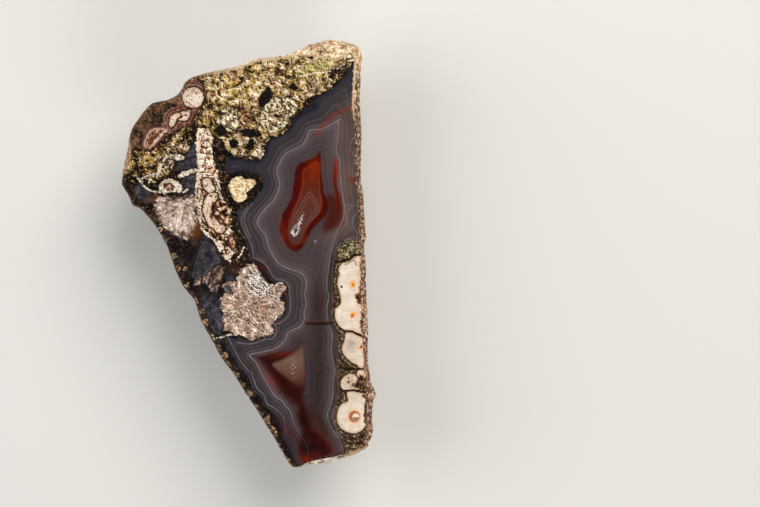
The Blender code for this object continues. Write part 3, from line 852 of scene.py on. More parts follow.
def build_stone():
    """The stone as one mesh: the cut with its open hollow first, then the rind."""
    rings = shape_rind(*smooth_rings())
    low, high = rings.min(axis=(0, 1)), rings.max(axis=(0, 1))
    rings -= np.array([(low[0] + high[0]) / 2, (low[1] + high[1]) / 2, 0.0])
    edge = rings[0, :, :2]
    grid, quads, triangles = face_grid(edge)
    ring_points = rings.reshape(-1, 3)
    tops = np.column_stack([grid, np.full(len(grid), HALF_HEIGHT)])
    tops[:, 2] -= vug_depth(to_px(tops))
    points = np.concatenate([ring_points, tops])
    shift = len(ring_points) - POINTS_AROUND
    cut = [tuple(face) for corners in (quads, triangles)
           for face in np.where(corners >= POINTS_AROUND, corners + shift, corners)]
    cut_map, down_map = fold_into_map(rings, edge, grid)
    places = np.zeros((len(points), 2))
    places[:POINTS_AROUND] = cut_map[:POINTS_AROUND]
    places[len(ring_points):] = cut_map[POINTS_AROUND:]
    rind, rind_loops = rind_faces(rings, down_map)
    loops = [places[list(face)] for face in cut] + rind_loops

    mesh = bpy.data.meshes.new("agate_stone")
    mesh.from_pydata(points.tolist(), [], cut + rind)
    layer = mesh.uv_layers.new(name="OFBake")
    layer.data.foreach_set("uv", np.concatenate([np.ravel(loop) for loop in loops]))
    mesh.update()
    mesh.polygons.foreach_set("material_index", [0] * len(cut) + [1] * len(rind))
    shape = bmesh.new()
    shape.from_mesh(mesh)
    bmesh.ops.recalc_face_normals(shape, faces=shape.faces)
    shape.to_mesh(mesh)
    shape.free()
    mesh.shade_smooth()
    mesh.set_sharp_from_angle(angle=SHARP_ANGLE)
    stone = bpy.data.objects.new("agate_stone", mesh)
    bpy.context.collection.objects.link(stone)
    return stone


# The fields: numbers at each point of the cut that the colours are made from

def layout_fields(places, edge):
    """Every distance and soft spot that the cut's colours are made from."""
    fields = {name: depth_in(places, *group) for name, group in OUTLINES.items()}
    fields["stick"] = np.minimum(fields["stick"], -depth_in(places, *STICK_HOLES))
    for name, lines in LINES.items():
        fields[name + "_side"], fields[name + "_gap"], fields[name] = beside(places, lines)
    for name, spots in SPOTS.items():
        fields[name] = glow(places, spots)
    for name, (x, y) in CENTRES.items():
        fields[name] = away(places, x, y)
    flecks = np.max([size - away(places, x, y) for x, y, size in FLECKS], axis=0)
    fields["fleck"] = np.maximum(flecks, -FAR)
    fields["rim"] = nearest(places, edge)[1]
    fields["flare"] = nearest(places, smooth_curve(FLARE, False))[1]
    dx, dy = in_vug(places).T
    fields["vug"] = 1.0 - np.hypot(dx + VUG_LEAN * dy, dy)

    # 0 at the wall, 1 at the inner pale line, 2 at the red cores
    band = fields["band"]
    core = -np.maximum.reduce([fields["eye"], fields["low_core"], fields["streak"] - 4.0])
    core = np.maximum(core, 0.0)
    wall = np.maximum(fields["wall"], 0.0)
    outer = wall / (wall + np.abs(band) + 0.5)
    inner = 1.0 + band / (np.abs(band) + core + 2.0)
    fields["phase"] = np.where(band < 0.0, outer, inner)
    return fields


def store_fields(stone):
    """Keep the layout on the mesh, one point attribute to a field."""
    mesh = stone.data
    count = len(mesh.vertices)
    corners = np.empty(count * 3)
    mesh.vertices.foreach_get("co", corners)
    places = to_px(corners.reshape(-1, 3))
    first_of_cut = (RIM_RINGS + BACK_RINGS + 1) * POINTS_AROUND
    on_cut = np.concatenate([np.arange(POINTS_AROUND), np.arange(first_of_cut, count)])
    fields = {"x": places[:, 0], "y": places[:, 1]}
    for name, values in layout_fields(places[on_cut], places[:POINTS_AROUND]).items():
        fields[name] = np.zeros(count)
        fields[name][on_cut] = values
    for name, values in fields.items():
        layer = mesh.attributes.new(FIELD_PREFIX + name, "FLOAT", "POINT")
        layer.data.foreach_set("value", values.astype(np.float32))


# Materials. The paint functions lay one kind of growth each over the colour below. Their
# numbers are pixels, shares of a mix, places on a ramp, and colours of 0 to 255.

def tone(red, green, blue):
    """A colour given the way a picture editor shows it, as the renderer wants it."""
    def to_linear(value):
        value /= 255.0
        if value <= 0.04045:
            return value / 12.92
        return ((value + 0.055) / 1.055) ** 2.4
    return (to_linear(red), to_linear(green), to_linear(blue), 1.0)


class Value:
    """A number or a colour that one shader's nodes work out. Sums and products of values
    are nodes too."""

    def __init__(self, shader, socket):
        self.shader = shader
        self.socket = socket

    def __add__(self, other):
        return self.shader.math("ADD", self, other)

    def __radd__(self, other):
        return self.shader.math("ADD", other, self)

    def __sub__(self, other):
        return self.shader.math("SUBTRACT", self, other)

    def __rsub__(self, other):
        return self.shader.math("SUBTRACT", other, self)

    def __mul__(self, other):
        return self.shader.math("MULTIPLY", self, other)

    def __truediv__(self, other):
        return self.shader.math("DIVIDE", self, other)

    def __abs__(self):
        return self.shader.math("ABSOLUTE", self)

    def lay(self, share, over, kind="MIX"):
        """Lay another colour over this one, as a share of it."""
        self.socket = self.shader.mix(share, self, over, kind).socket

    def light(self, factor):
        """Make this colour lighter or darker by a factor."""
        self.socket = self.shader.lit(self, factor).socket


class Shader:
    """Lays out the nodes of one material, each after the nodes that feed it. Lengths are
    pixels of the photograph."""

    def __init__(self, name):
        self.material = bpy.data.materials.new(name)
        self.material.use_nodes = True
        self.tree = self.material.node_tree
        self.tree.nodes.clear()
        self.place = self.node("TexCoord", {}, "Object")
        self.x = self.read("x")
        self.y = self.read("y")

    def node(self, kind, inputs, output=0, **settings):
        """One output of a new node, whose inputs are linked to values or set."""
        node = self.tree.nodes.new("ShaderNode" + kind)
        for name, setting in settings.items():
            setattr(node, name, setting)
        for key, value in inputs.items():
            if isinstance(value, Value):
                self.tree.links.new(value.socket, node.inputs[key])
            else:
                node.inputs[key].default_value = value
        return Value(self, node.outputs[output])

    def math(self, kind, *values, clamp=False):
        """Arithmetic of one kind."""
        return self.node("Math", dict(enumerate(values)), operation=kind, use_clamp=clamp)

    def read(self, name):
        """A field that store_fields has put on the stone."""
        return self.node("Attribute", {}, "Fac", attribute_name=FIELD_PREFIX + name)

    def spot(self, name):
        """A field of soft spots, no higher than 1."""
        return self.math("MINIMUM", self.read(name), 1.0)

    def step(self, value, low, high):
        """0 below low and 1 above high, or the other way round where low is above high.
        A name stands for its field."""
        if isinstance(value, str):
            value = self.read(value)
        return self.node("MapRange", {"Value": value, "From Min": low, "From Max": high},
                         interpolation_type="SMOOTHSTEP")

    def scaled(self, value, low, high, to_low, to_high):
        """The span from low to high carried over to another one."""
        return self.node("MapRange", {"Value": value, "From Min": low, "From Max": high,
                                      "To Min": to_low, "To Max": to_high})

    def texture(self, dimensions, scale, detail, roughness, twist=0.0, **inputs):
        """Noise over space, along a number, or both."""
        inputs.update(Scale=scale, Detail=detail, Roughness=roughness, Distortion=twist)
        return self.node("TexNoise", inputs, noise_dimensions=dimensions)

    def noise(self, size, detail=2.0, roughness=0.5, twist=0.0, at=None):
        """Noise over space, between 0 and 1."""
        return self.texture("3D", 1.0 / (size * PIXEL), detail, roughness, twist,
                            Vector=at or self.place)

    def sway(self, reach, size, detail=2.0, roughness=0.5):
        """Noise that swings to both sides of nothing."""
        return (self.noise(size, detail, roughness) - 0.5) * reach

    def relief(self, size, detail, roughness, twist=0.0, shift=0.8):
        """Noise as a height, and how steeply it falls towards the upper right: the paints add
        this fall to their colours as painted highlight and shade, as if the grains were lit
        from the upper right.
        """
        shift *= PIXEL
        moved = self.node("Mapping", {"Vector": self.place, "Location": (shift, shift, 0.0)})
        height = self.noise(size, detail, roughness, twist)
        return height, height - self.noise(size, detail, roughness, twist, moved)

    def rays(self, angle, size, detail, roughness):
        """Noise that also runs along a number, so that it is drawn out where the number
        changes little."""
        return self.texture("4D", 1.0 / (size * PIXEL), detail, roughness,
                            Vector=self.place, W=angle * (size * PIXEL))

    def stripes(self, value, detail=3.0, roughness=0.6):
        """Noise along one number only."""
        return self.texture("1D", 1.0, detail, roughness, W=value)

    def cells(self, size, kind="F1"):
        """Distance to the nearest of scattered points, or to the edge between them."""
        return self.node("TexVoronoi", {"Vector": self.place, "Scale": 1.0 / (size * PIXEL)},
                         "Distance", feature=kind)

    def ramp(self, value, *stops):
        """Colours along a number. Each stop is a position, a red, a green and a blue."""
        colour = self.node("ValToRGB", {0: value})
        marks = colour.socket.node.color_ramp.elements
        marks.remove(marks[1])
        marks[0].position = stops[0][0]
        marks[0].color = tone(*stops[0][1:])
        for stop in stops[1:]:
            marks.new(stop[0]).color = tone(*stop[1:])
        return colour

    def mix(self, share, under, over, kind="MIX"):
        """Two colours mixed. Each is a value, or a red, a green and a blue."""
        under, over = (tone(*c) if isinstance(c, tuple) else c for c in (under, over))
        return self.node("Mix", {0: share, 6: under, 7: over}, 2, data_type="RGBA",
                         blend_type=kind)

    def lit(self, colour, factor):
        """The colour made lighter or darker by a factor."""
        grey = self.node("CombineColor", {0: factor, 1: factor, 2: factor})
        return self.mix(1.0, colour, grey, "MULTIPLY")

    def within(self, name, jitter=0.0, soft=0.6, reach=0.0, size=4.0):
        """1 inside a traced outline, its edge roughened by noise."""
        depth = self.read(name) + reach
        if jitter:
            depth += self.sway(4.0 * jitter, size, 3.0, 0.6)
        return self.step(depth, -soft, soft)

    def line(self, name, half, soft=0.7, reach=2.4, offset=0.0):
        """1 along the traced lines of a group, times each line's weight."""
        side = abs(self.read(name + "_side") - offset)
        thin = self.step(side, half + soft, half)
        reach += abs(offset)
        close = self.step(self.read(name + "_gap"), reach + 0.8, reach)
        return thin * close * self.read(name)

    def surface(self, inputs):
        """The finished material, with these inputs of its surface."""
        shader = self.node("BsdfPrincipled", inputs)
        out = self.tree.nodes.new("ShaderNodeOutputMaterial")
        self.tree.links.new(shader.socket, out.inputs["Surface"])
        return self.material


def paint_ground(s):
    """Dark brown matrix behind everything else."""
    blotch = s.noise(9, 5, 0.62, twist=0.6)
    colour = s.ramp(blotch, (0.38, 6, 4, 4), (0.5, 18, 11, 9), (0.57, 38, 24, 17),
                    (0.64, 72, 50, 33), (0.74, 134, 106, 74))
    height, slope = s.relief(3, 4, 0.62)
    # painted highlight and shade: slope lightens and darkens the grain specks as if they were
    # lit from the upper right
    grain = height + slope * 0.9
    colour.lay(s.step(grain, 0.62, 0.74) * 0.6, (146, 118, 84))
    colour.lay(s.step(grain, 0.46, 0.36) * 0.6, (5, 4, 4))
    quiet = s.step("rim", 1.4, 3.8) * s.step(s.y, 205, 250)
    calm = s.ramp(s.noise(12, 3), (0.38, 10, 8, 9), (0.54, 22, 18, 20), (0.68, 46, 38, 38))
    return s.mix(quiet * 0.82, colour, calm)


def paint_brown(s, under):
    """The brown matrix at the upper left, with its pinkish lens."""
    mottle, slope = s.relief(6.5, 5, 0.62)
    # painted highlight and shade: slope lights and darkens the mottle as if it were lit from
    # the upper right
    level = mottle + slope
    colour = s.ramp(level, (0.32, 9, 7, 5), (0.43, 26, 18, 12), (0.51, 48, 32, 22),
                    (0.59, 70, 48, 34), (0.72, 128, 97, 72))
    fine = s.noise(2.4, 3, 0.65)
    colour.lay(s.step(fine, 0.54, 0.66) * 0.42, (142, 110, 84))
    colour.lay(s.step(fine, 0.46, 0.36) * 0.42, (16, 11, 9))
    murk = s.noise(7, 4, 0.66) + s.step("rim", 14, 3) * -0.07
    colour.lay(s.step(murk, 0.47, 0.58) * 0.66, (28, 26, 19))
    colour.lay(s.step(murk, 0.44, 0.34) * 0.5, (124, 82, 58))
    near = s.read("tube") + s.sway(3.6, 3.4, 4, 0.6)
    rings = s.ramp(s.scaled(near, -7, 0, 0, 1), (0, 96, 62, 46), (0.2, 132, 96, 80),
                   (0.34, 64, 24, 20), (0.5, 98, 34, 27), (0.64, 134, 96, 84),
                   (0.8, 52, 20, 18), (1, 28, 18, 17))
    rings.lay(s.step(fine, 0.5, 0.6) * 0.55, (164, 130, 104))
    rings.lay(s.step(fine, 0.46, 0.38) * 0.55, (44, 18, 12))
    colour.lay(s.step(near, -7.5, -5) * s.step(s.x, 158, 166) * 0.85, rings)
    under.lay(s.within("brown", 1.2, 0.8), colour)
    ring = s.within("lens", 0.8, 0.7, reach=2, size=3)
    under.lay(ring * 0.85, (92, 56, 46))
    # the lens's inside also gets painted highlight and shade from slope
    inner = s.ramp(s.noise(3.2, 4, 0.7) + slope * 1.4, (0.34, 36, 18, 12), (0.46, 92, 52, 34),
                   (0.56, 142, 102, 78), (0.7, 206, 178, 150))
    inner.lay(s.spot("rusty") * 0.72, (82, 36, 15))
    under.lay(s.within("lens", 0.7, 0.8, size=3), inner)
    depth = s.read("lens") + (fine - 0.5) * 2.2
    edge = s.step(depth, -0.5, 0.3) * s.step(depth, 2.4, 1.2) * 0.62
    under.lay(edge, (186, 148, 130))


def paint_moss(s, under):
    """Curled filaments, cream to olive, with near-black gaps between them."""
    body, slope = s.relief(7.2, 3.5, 0.56, twist=2.2, shift=0.9)
    clump = s.noise(13, 4, 0.6, twist=0.8)
    curl = abs(body - 0.5)
    filament = s.step(curl, 0.09, 0.02)
    grain = s.step(s.cells(2.8), 0.66, 0.18)
    lump = s.cells(7) + s.sway(0.9, 3.2, 3, 0.6)
    height = filament * 0.3 + grain * 0.15
    height += (clump - 0.4) * 1.3
    height += s.scaled(lump, 0.15, 0.85, 0.2, -0.26)
    # painted highlight and shade: slope makes the filaments look raised and lit from the upper
    # right
    height += slope * 1.5
    height += s.read("bright") * 0.17
    height -= s.step(s.x, 225, 190) * 0.12
    height -= s.read("bare") * 0.3
    height += s.read("pale_moss") * 0.12
    green = s.ramp(height, (0.08, 14, 9, 6), (0.18, 60, 45, 24), (0.33, 118, 96, 58),
                   (0.52, 168, 142, 94), (0.7, 206, 182, 132), (0.92, 244, 230, 196))
    cream = s.ramp(height, (0.08, 16, 11, 9), (0.18, 64, 46, 34), (0.33, 130, 106, 80),
                   (0.52, 182, 158, 124), (0.7, 220, 202, 172), (0.92, 252, 245, 230))
    yellow = s.ramp(height, (0.08, 20, 12, 5), (0.18, 78, 54, 22), (0.36, 142, 110, 54),
                    (0.58, 188, 156, 88), (0.86, 236, 214, 156))
    rusty = s.ramp(height, (0.12, 20, 11, 8), (0.3, 86, 50, 30), (0.5, 154, 108, 72),
                   (0.75, 206, 168, 126), (0.95, 242, 222, 194))
    hue = s.noise(9, 3, 0.55)
    colour = s.mix(s.step(hue + s.read("yellow") * 0.22, 0.52, 0.66), green, yellow)
    pale = s.noise(6.5, 3, 0.55) + s.read("pale_moss") * 0.3
    colour.lay(s.step(pale, 0.5, 0.66), cream)
    brown = s.read("rusty") + s.step(s.noise(11, 2, 0.5), 0.55, 0.66) * 0.7
    colour.lay(s.math("MULTIPLY", brown, 0.85, clamp=True), rusty)
    olive = s.step(s.noise(7.5, 3, 0.5, twist=0.5), 0.56, 0.64)
    colour.lay(olive * 0.55, (216, 214, 132), "MULTIPLY")
    cover = s.within("moss", 2.4, 0.8, reach=1.2, size=5)
    gap = s.within("hole", 1.6, 0.9, size=4)
    cover *= 1 - gap
    # painted shadow: a near-black rim laid round the outside of the moss
    halo = s.within("moss", 2, 1.4, reach=3, size=6)
    under.lay(halo * 0.88, (15, 11, 10))
    under.lay(cover, colour)


def paint_lobes(s, under):
    """Rounded moss heads with a pale rim, and the green lens near the top."""
    moved, slope = s.relief(5, 3, 0.55, twist=1.2)
    plates = needles(s, (274, 112), 4, 5)
    knobs = s.scaled(s.cells(4.6), 0.1, 0.75, 0.1, -0.12)
    level = moved * 0.5 + plates * 0.5 + knobs
    # painted highlight and shade: slope makes the lobe heads look raised and lit from the upper
    # right
    level += slope * 0.7
    body = s.ramp(level, (0.34, 26, 18, 13), (0.41, 88, 70, 48), (0.48, 158, 138, 102),
                  (0.55, 212, 196, 158), (0.64, 250, 241, 214))
    rose = s.step(s.noise(5, 2), 0.5, 0.62)
    body.lay(rose * 0.6, (190, 138, 116), "MULTIPLY")
    depth = s.read("lobe")
    ring = s.step(depth, -0.6, 0.6) * s.step(depth, 4.5, 2)
    ring *= s.step(level, 0.38, 0.5)
    body.lay(ring * 0.6, (240, 230, 194))
    dots = s.step(s.cells(3.6), 0.3, 0.16)
    body.lay(dots * 0.85, (36, 26, 17))
    rim = s.step(depth, -3.6, -2) * s.step(depth, 0.2, -0.8)
    under.lay(rim * 0.55, (22, 15, 10))
    under.lay(s.within("lobe", 1.8, 0.8, size=4) * 0.88, body)
    # the green lens also gets painted highlight and shade from slope
    lens = s.ramp(s.noise(4, 4, 0.65) + slope * 1.5, (0.32, 70, 60, 24),
                  (0.46, 130, 118, 54), (0.58, 174, 160, 90), (0.72, 222, 210, 152))
    under.lay(s.within("green", 2.2, 1.4) * 0.84, lens)


def paint_pockets(s, under):
    """Slate chalcedony in the small hollows at the left."""
    colour = s.ramp(s.noise(6, 4, 0.62, twist=0.5), (0.3, 20, 18, 21), (0.44, 36, 34, 39),
                    (0.56, 55, 53, 59), (0.7, 86, 82, 89))
    ringed = s.stripes(s.read("pocket") * 0.55)
    colour.light(s.scaled(ringed, 0.3, 0.7, 0.72, 1.28))
    under.lay(s.within("pocket", 1.5, 2, reach=0.8, size=7), colour)


def paint_column(s, under):
    """The upright column of crusted tubes left of the centre, and its dark side."""
    shade = s.ramp(s.noise(3.4, 4, 0.66), (0.36, 7, 5, 5), (0.5, 28, 18, 13),
                   (0.6, 62, 44, 28), (0.7, 150, 130, 92))
    under.lay(s.within("shade", 1.6, 1, size=6), shade)
    crust, slope = s.relief(4.8, 5, 0.62, twist=1)
    # painted highlight and shade: slope makes the crust look raised and lit from the upper
    # right
    level = crust + slope
    knobs = s.scaled(s.cells(4.2), 0.1, 0.75, 0.05, -0.06)
    level = level + knobs + s.step(s.y, 200, 160) * 0.09
    level -= s.read("sooty") * 0.14
    colour = s.ramp(level, (0.32, 26, 15, 11), (0.41, 84, 54, 38), (0.48, 146, 106, 80),
                    (0.55, 196, 166, 136), (0.64, 244, 234, 216))
    rosy = s.step(s.noise(7, 2, 0.5), 0.47, 0.58)
    colour.lay(rosy * 0.55, (204, 142, 112), "MULTIPLY")
    amount = s.within("column", 2.6, 0.7, size=4.5)
    gaps = s.step(s.noise(4.4, 3, 0.6), 0.43, 0.37)
    colour.lay(gaps * 0.8, (30, 18, 13))
    colour.lay(s.step("column", 4.6, 1.6) * s.step(level, 0.42, 0.54) * 0.62, (226, 212, 184))
    under.lay(amount, colour)
    # the cavity's colours also get painted highlight and shade from slope
    hollow = s.ramp(s.noise(4.6, 3, 0.6) + slope * 0.5, (0.4, 15, 8, 6), (0.49, 62, 36, 23),
                    (0.56, 138, 98, 68), (0.66, 222, 192, 160))
    under.lay(s.within("cavity", 1.4, 0.8, size=3), hollow)
    under.lay(s.within("tube", 0.6, 0.6, reach=1.8, size=3) * amount * 0.9, (58, 32, 23))
    bead = s.within("bead", 0.4, 0.5, reach=1.4)
    under.lay(bead, (40, 24, 17))
    pith = s.ramp(s.noise(2.4, 3, 0.6), (0.36, 70, 40, 28), (0.5, 138, 96, 72),
                  (0.64, 206, 168, 138))
    under.lay(s.within("bead", 0.7, 0.6, size=2.5), pith)


def paint_cream(s, under):
    """The cream blob in its black halo, right of the column."""
    halo = s.within("cream", 1.6, 2.4, reach=6, size=7)
    soot = s.ramp(s.noise(3, 3, 0.65), (0.4, 8, 6, 6), (0.56, 22, 16, 12),
                  (0.68, 70, 54, 36))
    under.lay(halo * 0.96, soot)
    height, slope = s.relief(3.6, 4, 0.6)
    # painted highlight and shade: slope makes the blob's grain look raised and lit from the
    # upper right
    level = height + slope * 1.2
    body = s.ramp(level, (0.26, 136, 108, 64), (0.38, 184, 158, 110), (0.5, 212, 190, 148),
                  (0.64, 236, 222, 192))
    creases = s.step(s.cells(3.6, "DISTANCE_TO_EDGE"), 0.11, 0.02)
    body.lay(creases * 0.35, (146, 118, 74))
    under.lay(s.within("cream", 1.3, 0.5, size=2.6), body)


def needles(s, centre, count, size):
    """Noise drawn out into rays from a centre."""
    angle = s.math("ARCTAN2", s.y - centre[1], s.x - centre[0])
    return s.rays(angle * count, size, 3, 0.68)


def paint_sprays(s, under):
    """Three sprays of pale needles."""
    wander = s.sway(6, 14, 2)
    rays = needles(s, (243, 306), 6, 10)
    other = needles(s, (268, 336), 11, 11)
    third = needles(s, (206, 318), 16, 11)
    grain, slope = s.relief(2, 3, 0.66)
    cross = s.math("MAXIMUM", rays, other - 0.02)
    cross = s.math("MAXIMUM", cross, third - 0.05)
    height = cross + (grain - 0.5) * 0.3
    # painted highlight and shade: slope makes the needles look raised and lit from the upper
    # right
    height += slope * 0.25
    colour = s.ramp(height, (0.39, 38, 25, 22), (0.47, 104, 80, 70), (0.55, 158, 132, 116),
                    (0.62, 200, 178, 160), (0.73, 250, 244, 236))
    # the salt grains get stronger painted highlight and shade from slope
    salt = s.ramp(grain + slope * 1.5, (0.36, 20, 16, 15), (0.48, 118, 104, 94),
                  (0.58, 232, 224, 214))
    colour.lay(s.step("salt", 0.25, 0.75) * 0.85, salt)
    colour.lay(s.step(s.noise(9, 2), 0.5, 0.62) * 0.2, (196, 150, 112))
    under.lay(s.within("spray_big", 2.6, 1, size=3), colour)
    spin = needles(s, (184, 204), 7, 6) + wander * 0.004
    upper = spin * 0.62 + s.noise(8, 3, 0.5) * 0.38
    upper += (grain - 0.5) * 0.34
    upper += s.step("spray_upper", 0, 7) * 0.045
    soft = s.ramp(upper, (0.34, 36, 26, 23), (0.43, 84, 66, 58), (0.51, 144, 122, 108),
                  (0.6, 192, 172, 158), (0.72, 240, 234, 226))
    under.lay(s.within("spray_upper", 2.4, 1.6, size=4), soft)
    small = needles(s, (196, 312), 14, 8) + (grain - 0.5) * 0.35
    dusk = s.ramp(small, (0.38, 30, 22, 21), (0.49, 86, 66, 58), (0.58, 142, 118, 104),
                  (0.72, 212, 194, 180))
    under.lay(s.within("spray_small", 2, 1.2, size=3) * 0.9, dusk)


def paint_bands(s, under):
    """Banded chalcedony with its pale lines and grey and warm zones."""
    phase = s.read("phase") + s.sway(0.07, 6, 3)
    colour = s.ramp(phase * 0.5, (0, 28, 27, 33), (0.025, 38, 36, 41), (0.06, 46, 43, 47),
                    (0.12, 53, 48, 51), (0.3, 58, 50, 53), (0.485, 64, 55, 57),
                    (0.505, 78, 67, 69), (0.6, 70, 59, 61), (0.74, 64, 53, 56),
                    (0.9, 62, 50, 53), (1, 62, 48, 48))
    fine = s.stripes(phase * 8.5, 2, 0.55)
    broad = s.stripes(phase * 6, 2, 0.5)
    outer = s.step("band", 1, -4)
    swing = 0.1 + outer * 0.42
    wave = (s.step(fine, 0.38, 0.62) - 0.5) * swing
    colour.light(wave + s.scaled(broad, 0.3, 0.7, 0.9, 1.14))
    ripple = s.math("SINE", phase * 66)
    faint = s.scaled(s.noise(14, 2), 0.38, 0.58, 0.06, 0.34)
    colour.light(ripple * outer * faint + 1)
    colour.lay(s.spot("warm") * 0.55, (108, 84, 72))
    dim = s.spot("dim")
    upright = s.stripes(s.x * 0.3, 3, 0.6)
    grey = s.lit((35, 22, 17), s.scaled(upright, 0.3, 0.7, 0.72, 1.34))
    colour.lay(dim * 0.88, grey)
    navy = s.read("navy") * s.step("wall", 13, 2)
    colour.lay(s.math("MULTIPLY", navy, 0.5, clamp=True), (24, 26, 37))
    rough = s.sway(2.8, 5, 3, 0.6)
    spread = s.step(s.y, 168, 156) * 4.5
    depth = s.read("wall") + spread + rough
    under.lay(s.step(depth, -0.9, 0.9), colour)


def paint_reds(s, under):
    """The eye, the streak beside it, the maroon patch and the lower red body."""
    under.lay(s.spot("crimson") * 0.85, (66, 7, 3))
    flare = s.read("flare") + s.sway(2.5, 5, 3)
    under.lay(s.step(flare, 4.4, 0) * 0.58, (104, 40, 20))
    under.lay(s.step("maroon", -5, 3) * 0.92, (62, 17, 6))
    depth = s.read("low_red")
    body = s.ramp(depth / 24, (0, 42, 19, 15), (0.16, 44, 10, 6), (0.34, 36, 4, 2),
                  (0.62, 50, 2, 0), (1, 44, 5, 2))
    banded = s.stripes(depth * 0.42)
    body.light(s.scaled(banded, 0.3, 0.7, 0.7, 1.36))
    under.lay(s.step(depth, -2.5, 4) * 0.97, body)
    core = s.ramp(s.scaled(s.y, 345, 388, 0, 1), (0, 76, 56, 47), (0.35, 102, 77, 66),
                  (0.7, 86, 54, 43), (1, 48, 18, 12))
    under.lay(s.step("low_core", -2.2, 2.6), core)
    foot = s.ramp(s.noise(9, 3), (0.34, 18, 4, 3), (0.52, 38, 3, 1), (0.7, 60, 10, 3))
    under.lay(s.step("red_foot", -4, 2.5) * 0.92, foot)
    shaken = s.sway(2.4, 6, 3, 0.6)
    eye = s.read("eye") + shaken
    inside_eye = s.read("eye_in")
    rim = s.ramp(eye / 9, (0, 42, 14, 9), (0.14, 62, 6, 1), (0.4, 62, 3, 0),
                 (0.75, 74, 6, 0), (1, 82, 15, 2))
    under.lay(s.step(eye, -1.1, 1.1), rim)
    heart = s.ramp(s.scaled(s.y, 160, 244, 0, 1), (0, 94, 22, 2), (0.16, 76, 20, 4),
                   (0.32, 80, 29, 14), (0.48, 80, 38, 31), (0.7, 76, 42, 38), (1, 72, 42, 33))
    ringed = s.stripes(inside_eye * 0.75)
    heart.light(s.scaled(ringed, 0.3, 0.7, 0.86, 1.18))
    under.lay(s.step(inside_eye, -1.2, 2), heart)
    seam = s.step(abs(inside_eye - 0.4), 1.2, 0.3) * s.step(s.y, 242, 196)
    under.lay(seam * 0.26, (150, 64, 24))
    veil = s.read("veil") + shaken * 0.3
    lines = s.math("MAXIMUM", s.step(abs(veil), 1, 0.1), s.step(abs(veil - 2.8), 0.9, 0.1))
    lines = lines * s.step(s.y, 240, 218) * 0.22
    under.lay(lines, (150, 104, 88))
    orange = s.spot("orange")
    flame = s.ramp(s.scaled(s.y, 158, 222, 0, 1), (0, 118, 32, 8), (0.3, 96, 18, 3),
                   (0.6, 76, 14, 4), (1, 64, 22, 12))
    under.lay(s.step(s.read("streak") + shaken * 0.5, -1.4, 0.9), flame)
    under.lay(orange * 0.5, (126, 38, 6))


def paint_mantle(s, under):
    """The speckled skin around the white tubes at the right."""
    gap = s.read("tube") * -1
    banded = s.stripes(gap * 0.55)
    speck = s.noise(2.2, 4, 0.7)
    level = banded * 0.46 + speck * 0.58
    colour = s.ramp(level, (0.42, 11, 7, 5), (0.5, 40, 26, 18), (0.56, 82, 62, 43),
                    (0.62, 156, 134, 100), (0.71, 228, 214, 184))
    inner = s.within("mantle", 0.8, 1.2, reach=-2)
    outer = s.within("mantle", 0.5, 1.2)
    smooth = s.lit((76, 60, 54), s.scaled(banded, 0.3, 0.7, 0.74, 1.26))
    under.lay(outer * 0.75, smooth)
    under.lay(inner * 0.94, colour)
    fan_lines = s.stripes(s.read("fan_way") * 0.75)
    grit = (speck - 0.5) * 2 + (fan_lines - 0.5) * 0.7
    fan = s.ramp(grit + 0.5, (0.3, 30, 22, 15), (0.44, 70, 56, 40), (0.58, 112, 100, 68),
                 (0.76, 190, 180, 136))
    under.lay(s.within("fan", 1.6, 3.4) * 0.85, fan)


def paint_tubes(s, under):
    """White tubes with dark outlines, orange hearts and brown specks."""
    edge = s.noise(3.2, 4, 0.65)
    ragged = s.scaled(s.x, 225, 300, 3.4, 2)
    depth = s.read("tube") + (edge - 0.5) * ragged
    under.lay(s.step(depth, -2, -0.6) * 0.85, (34, 20, 14))
    body = s.ramp(s.noise(7, 3, 0.5), (0.3, 196, 180, 162), (0.46, 208, 194, 177),
                  (0.6, 217, 205, 190), (0.74, 226, 216, 204))
    body.lay(s.step(depth, 2.8, 0.2), (198, 166, 138))
    peach = s.spot("peach")
    body.lay(peach * 0.6, (220, 178, 144))
    cloud = s.noise(4, 4, 0.62)
    ash = s.spot("ash") * s.scaled(cloud, 0.4, 0.6, 0.45, 1)
    body.lay(ash * 0.75, (142, 122, 102))
    left = s.step(s.x, 300, 230)
    body.lay(left * s.step(cloud, 0.52, 0.62) * 0.5, (172, 130, 102))
    grit = s.step(s.noise(2.2, 3, 0.62) + left * 0.06, 0.59, 0.68)
    gritty = left + (peach * 0.5 + ash * 0.6)
    body.lay(s.math("MULTIPLY", grit * gritty, 0.85, clamp=True), (96, 58, 40))
    ring = s.read("ring")
    grown = s.stripes(ring * 0.55, 2, 0.6)
    body.light(s.scaled(grown, 0.35, 0.65, 0.93, 1.03))
    glow_ring = s.step(ring, 9.5, 6.5) * s.step(ring, 3, 5.2)
    body.lay(glow_ring * 0.45, (216, 166, 118))
    bore = s.read("bore")
    crescent = s.step(ring, 6.4, 5.2) * s.step(bore, 3.2, 4.4)
    body.lay(crescent * 0.9, (158, 72, 22))
    lens = s.step(bore, 4, 3.2) * s.step(s.y, 416.4, 418.2)
    body.lay(lens * 0.85, (104, 76, 54))
    core = s.read("core")
    body.lay(s.step(core, 0.22, 0.75), (226, 160, 82))
    body.lay(s.step(core, 0.8, 1.05), (190, 112, 40))
    dark = s.read("core_dark") + s.sway(1.3, 2.2, 3, 0.6)
    body.lay(s.step(dark, 0.36, 0.6), (100, 66, 44))
    body.lay(s.step(dark, 0.64, 0.88), (40, 23, 15))
    under.lay(s.step(depth, -0.5, 0.5), body)
    under.lay(s.within("stick", 0.8, 0.7, reach=1.8) * 0.85, (20, 13, 11))
    chalk = s.ramp(s.noise(2.3, 4, 0.65), (0.34, 112, 92, 74), (0.48, 184, 166, 144),
                   (0.6, 234, 226, 212))
    under.lay(s.within("stick", 1.4, 0.6, size=2.6), chalk)


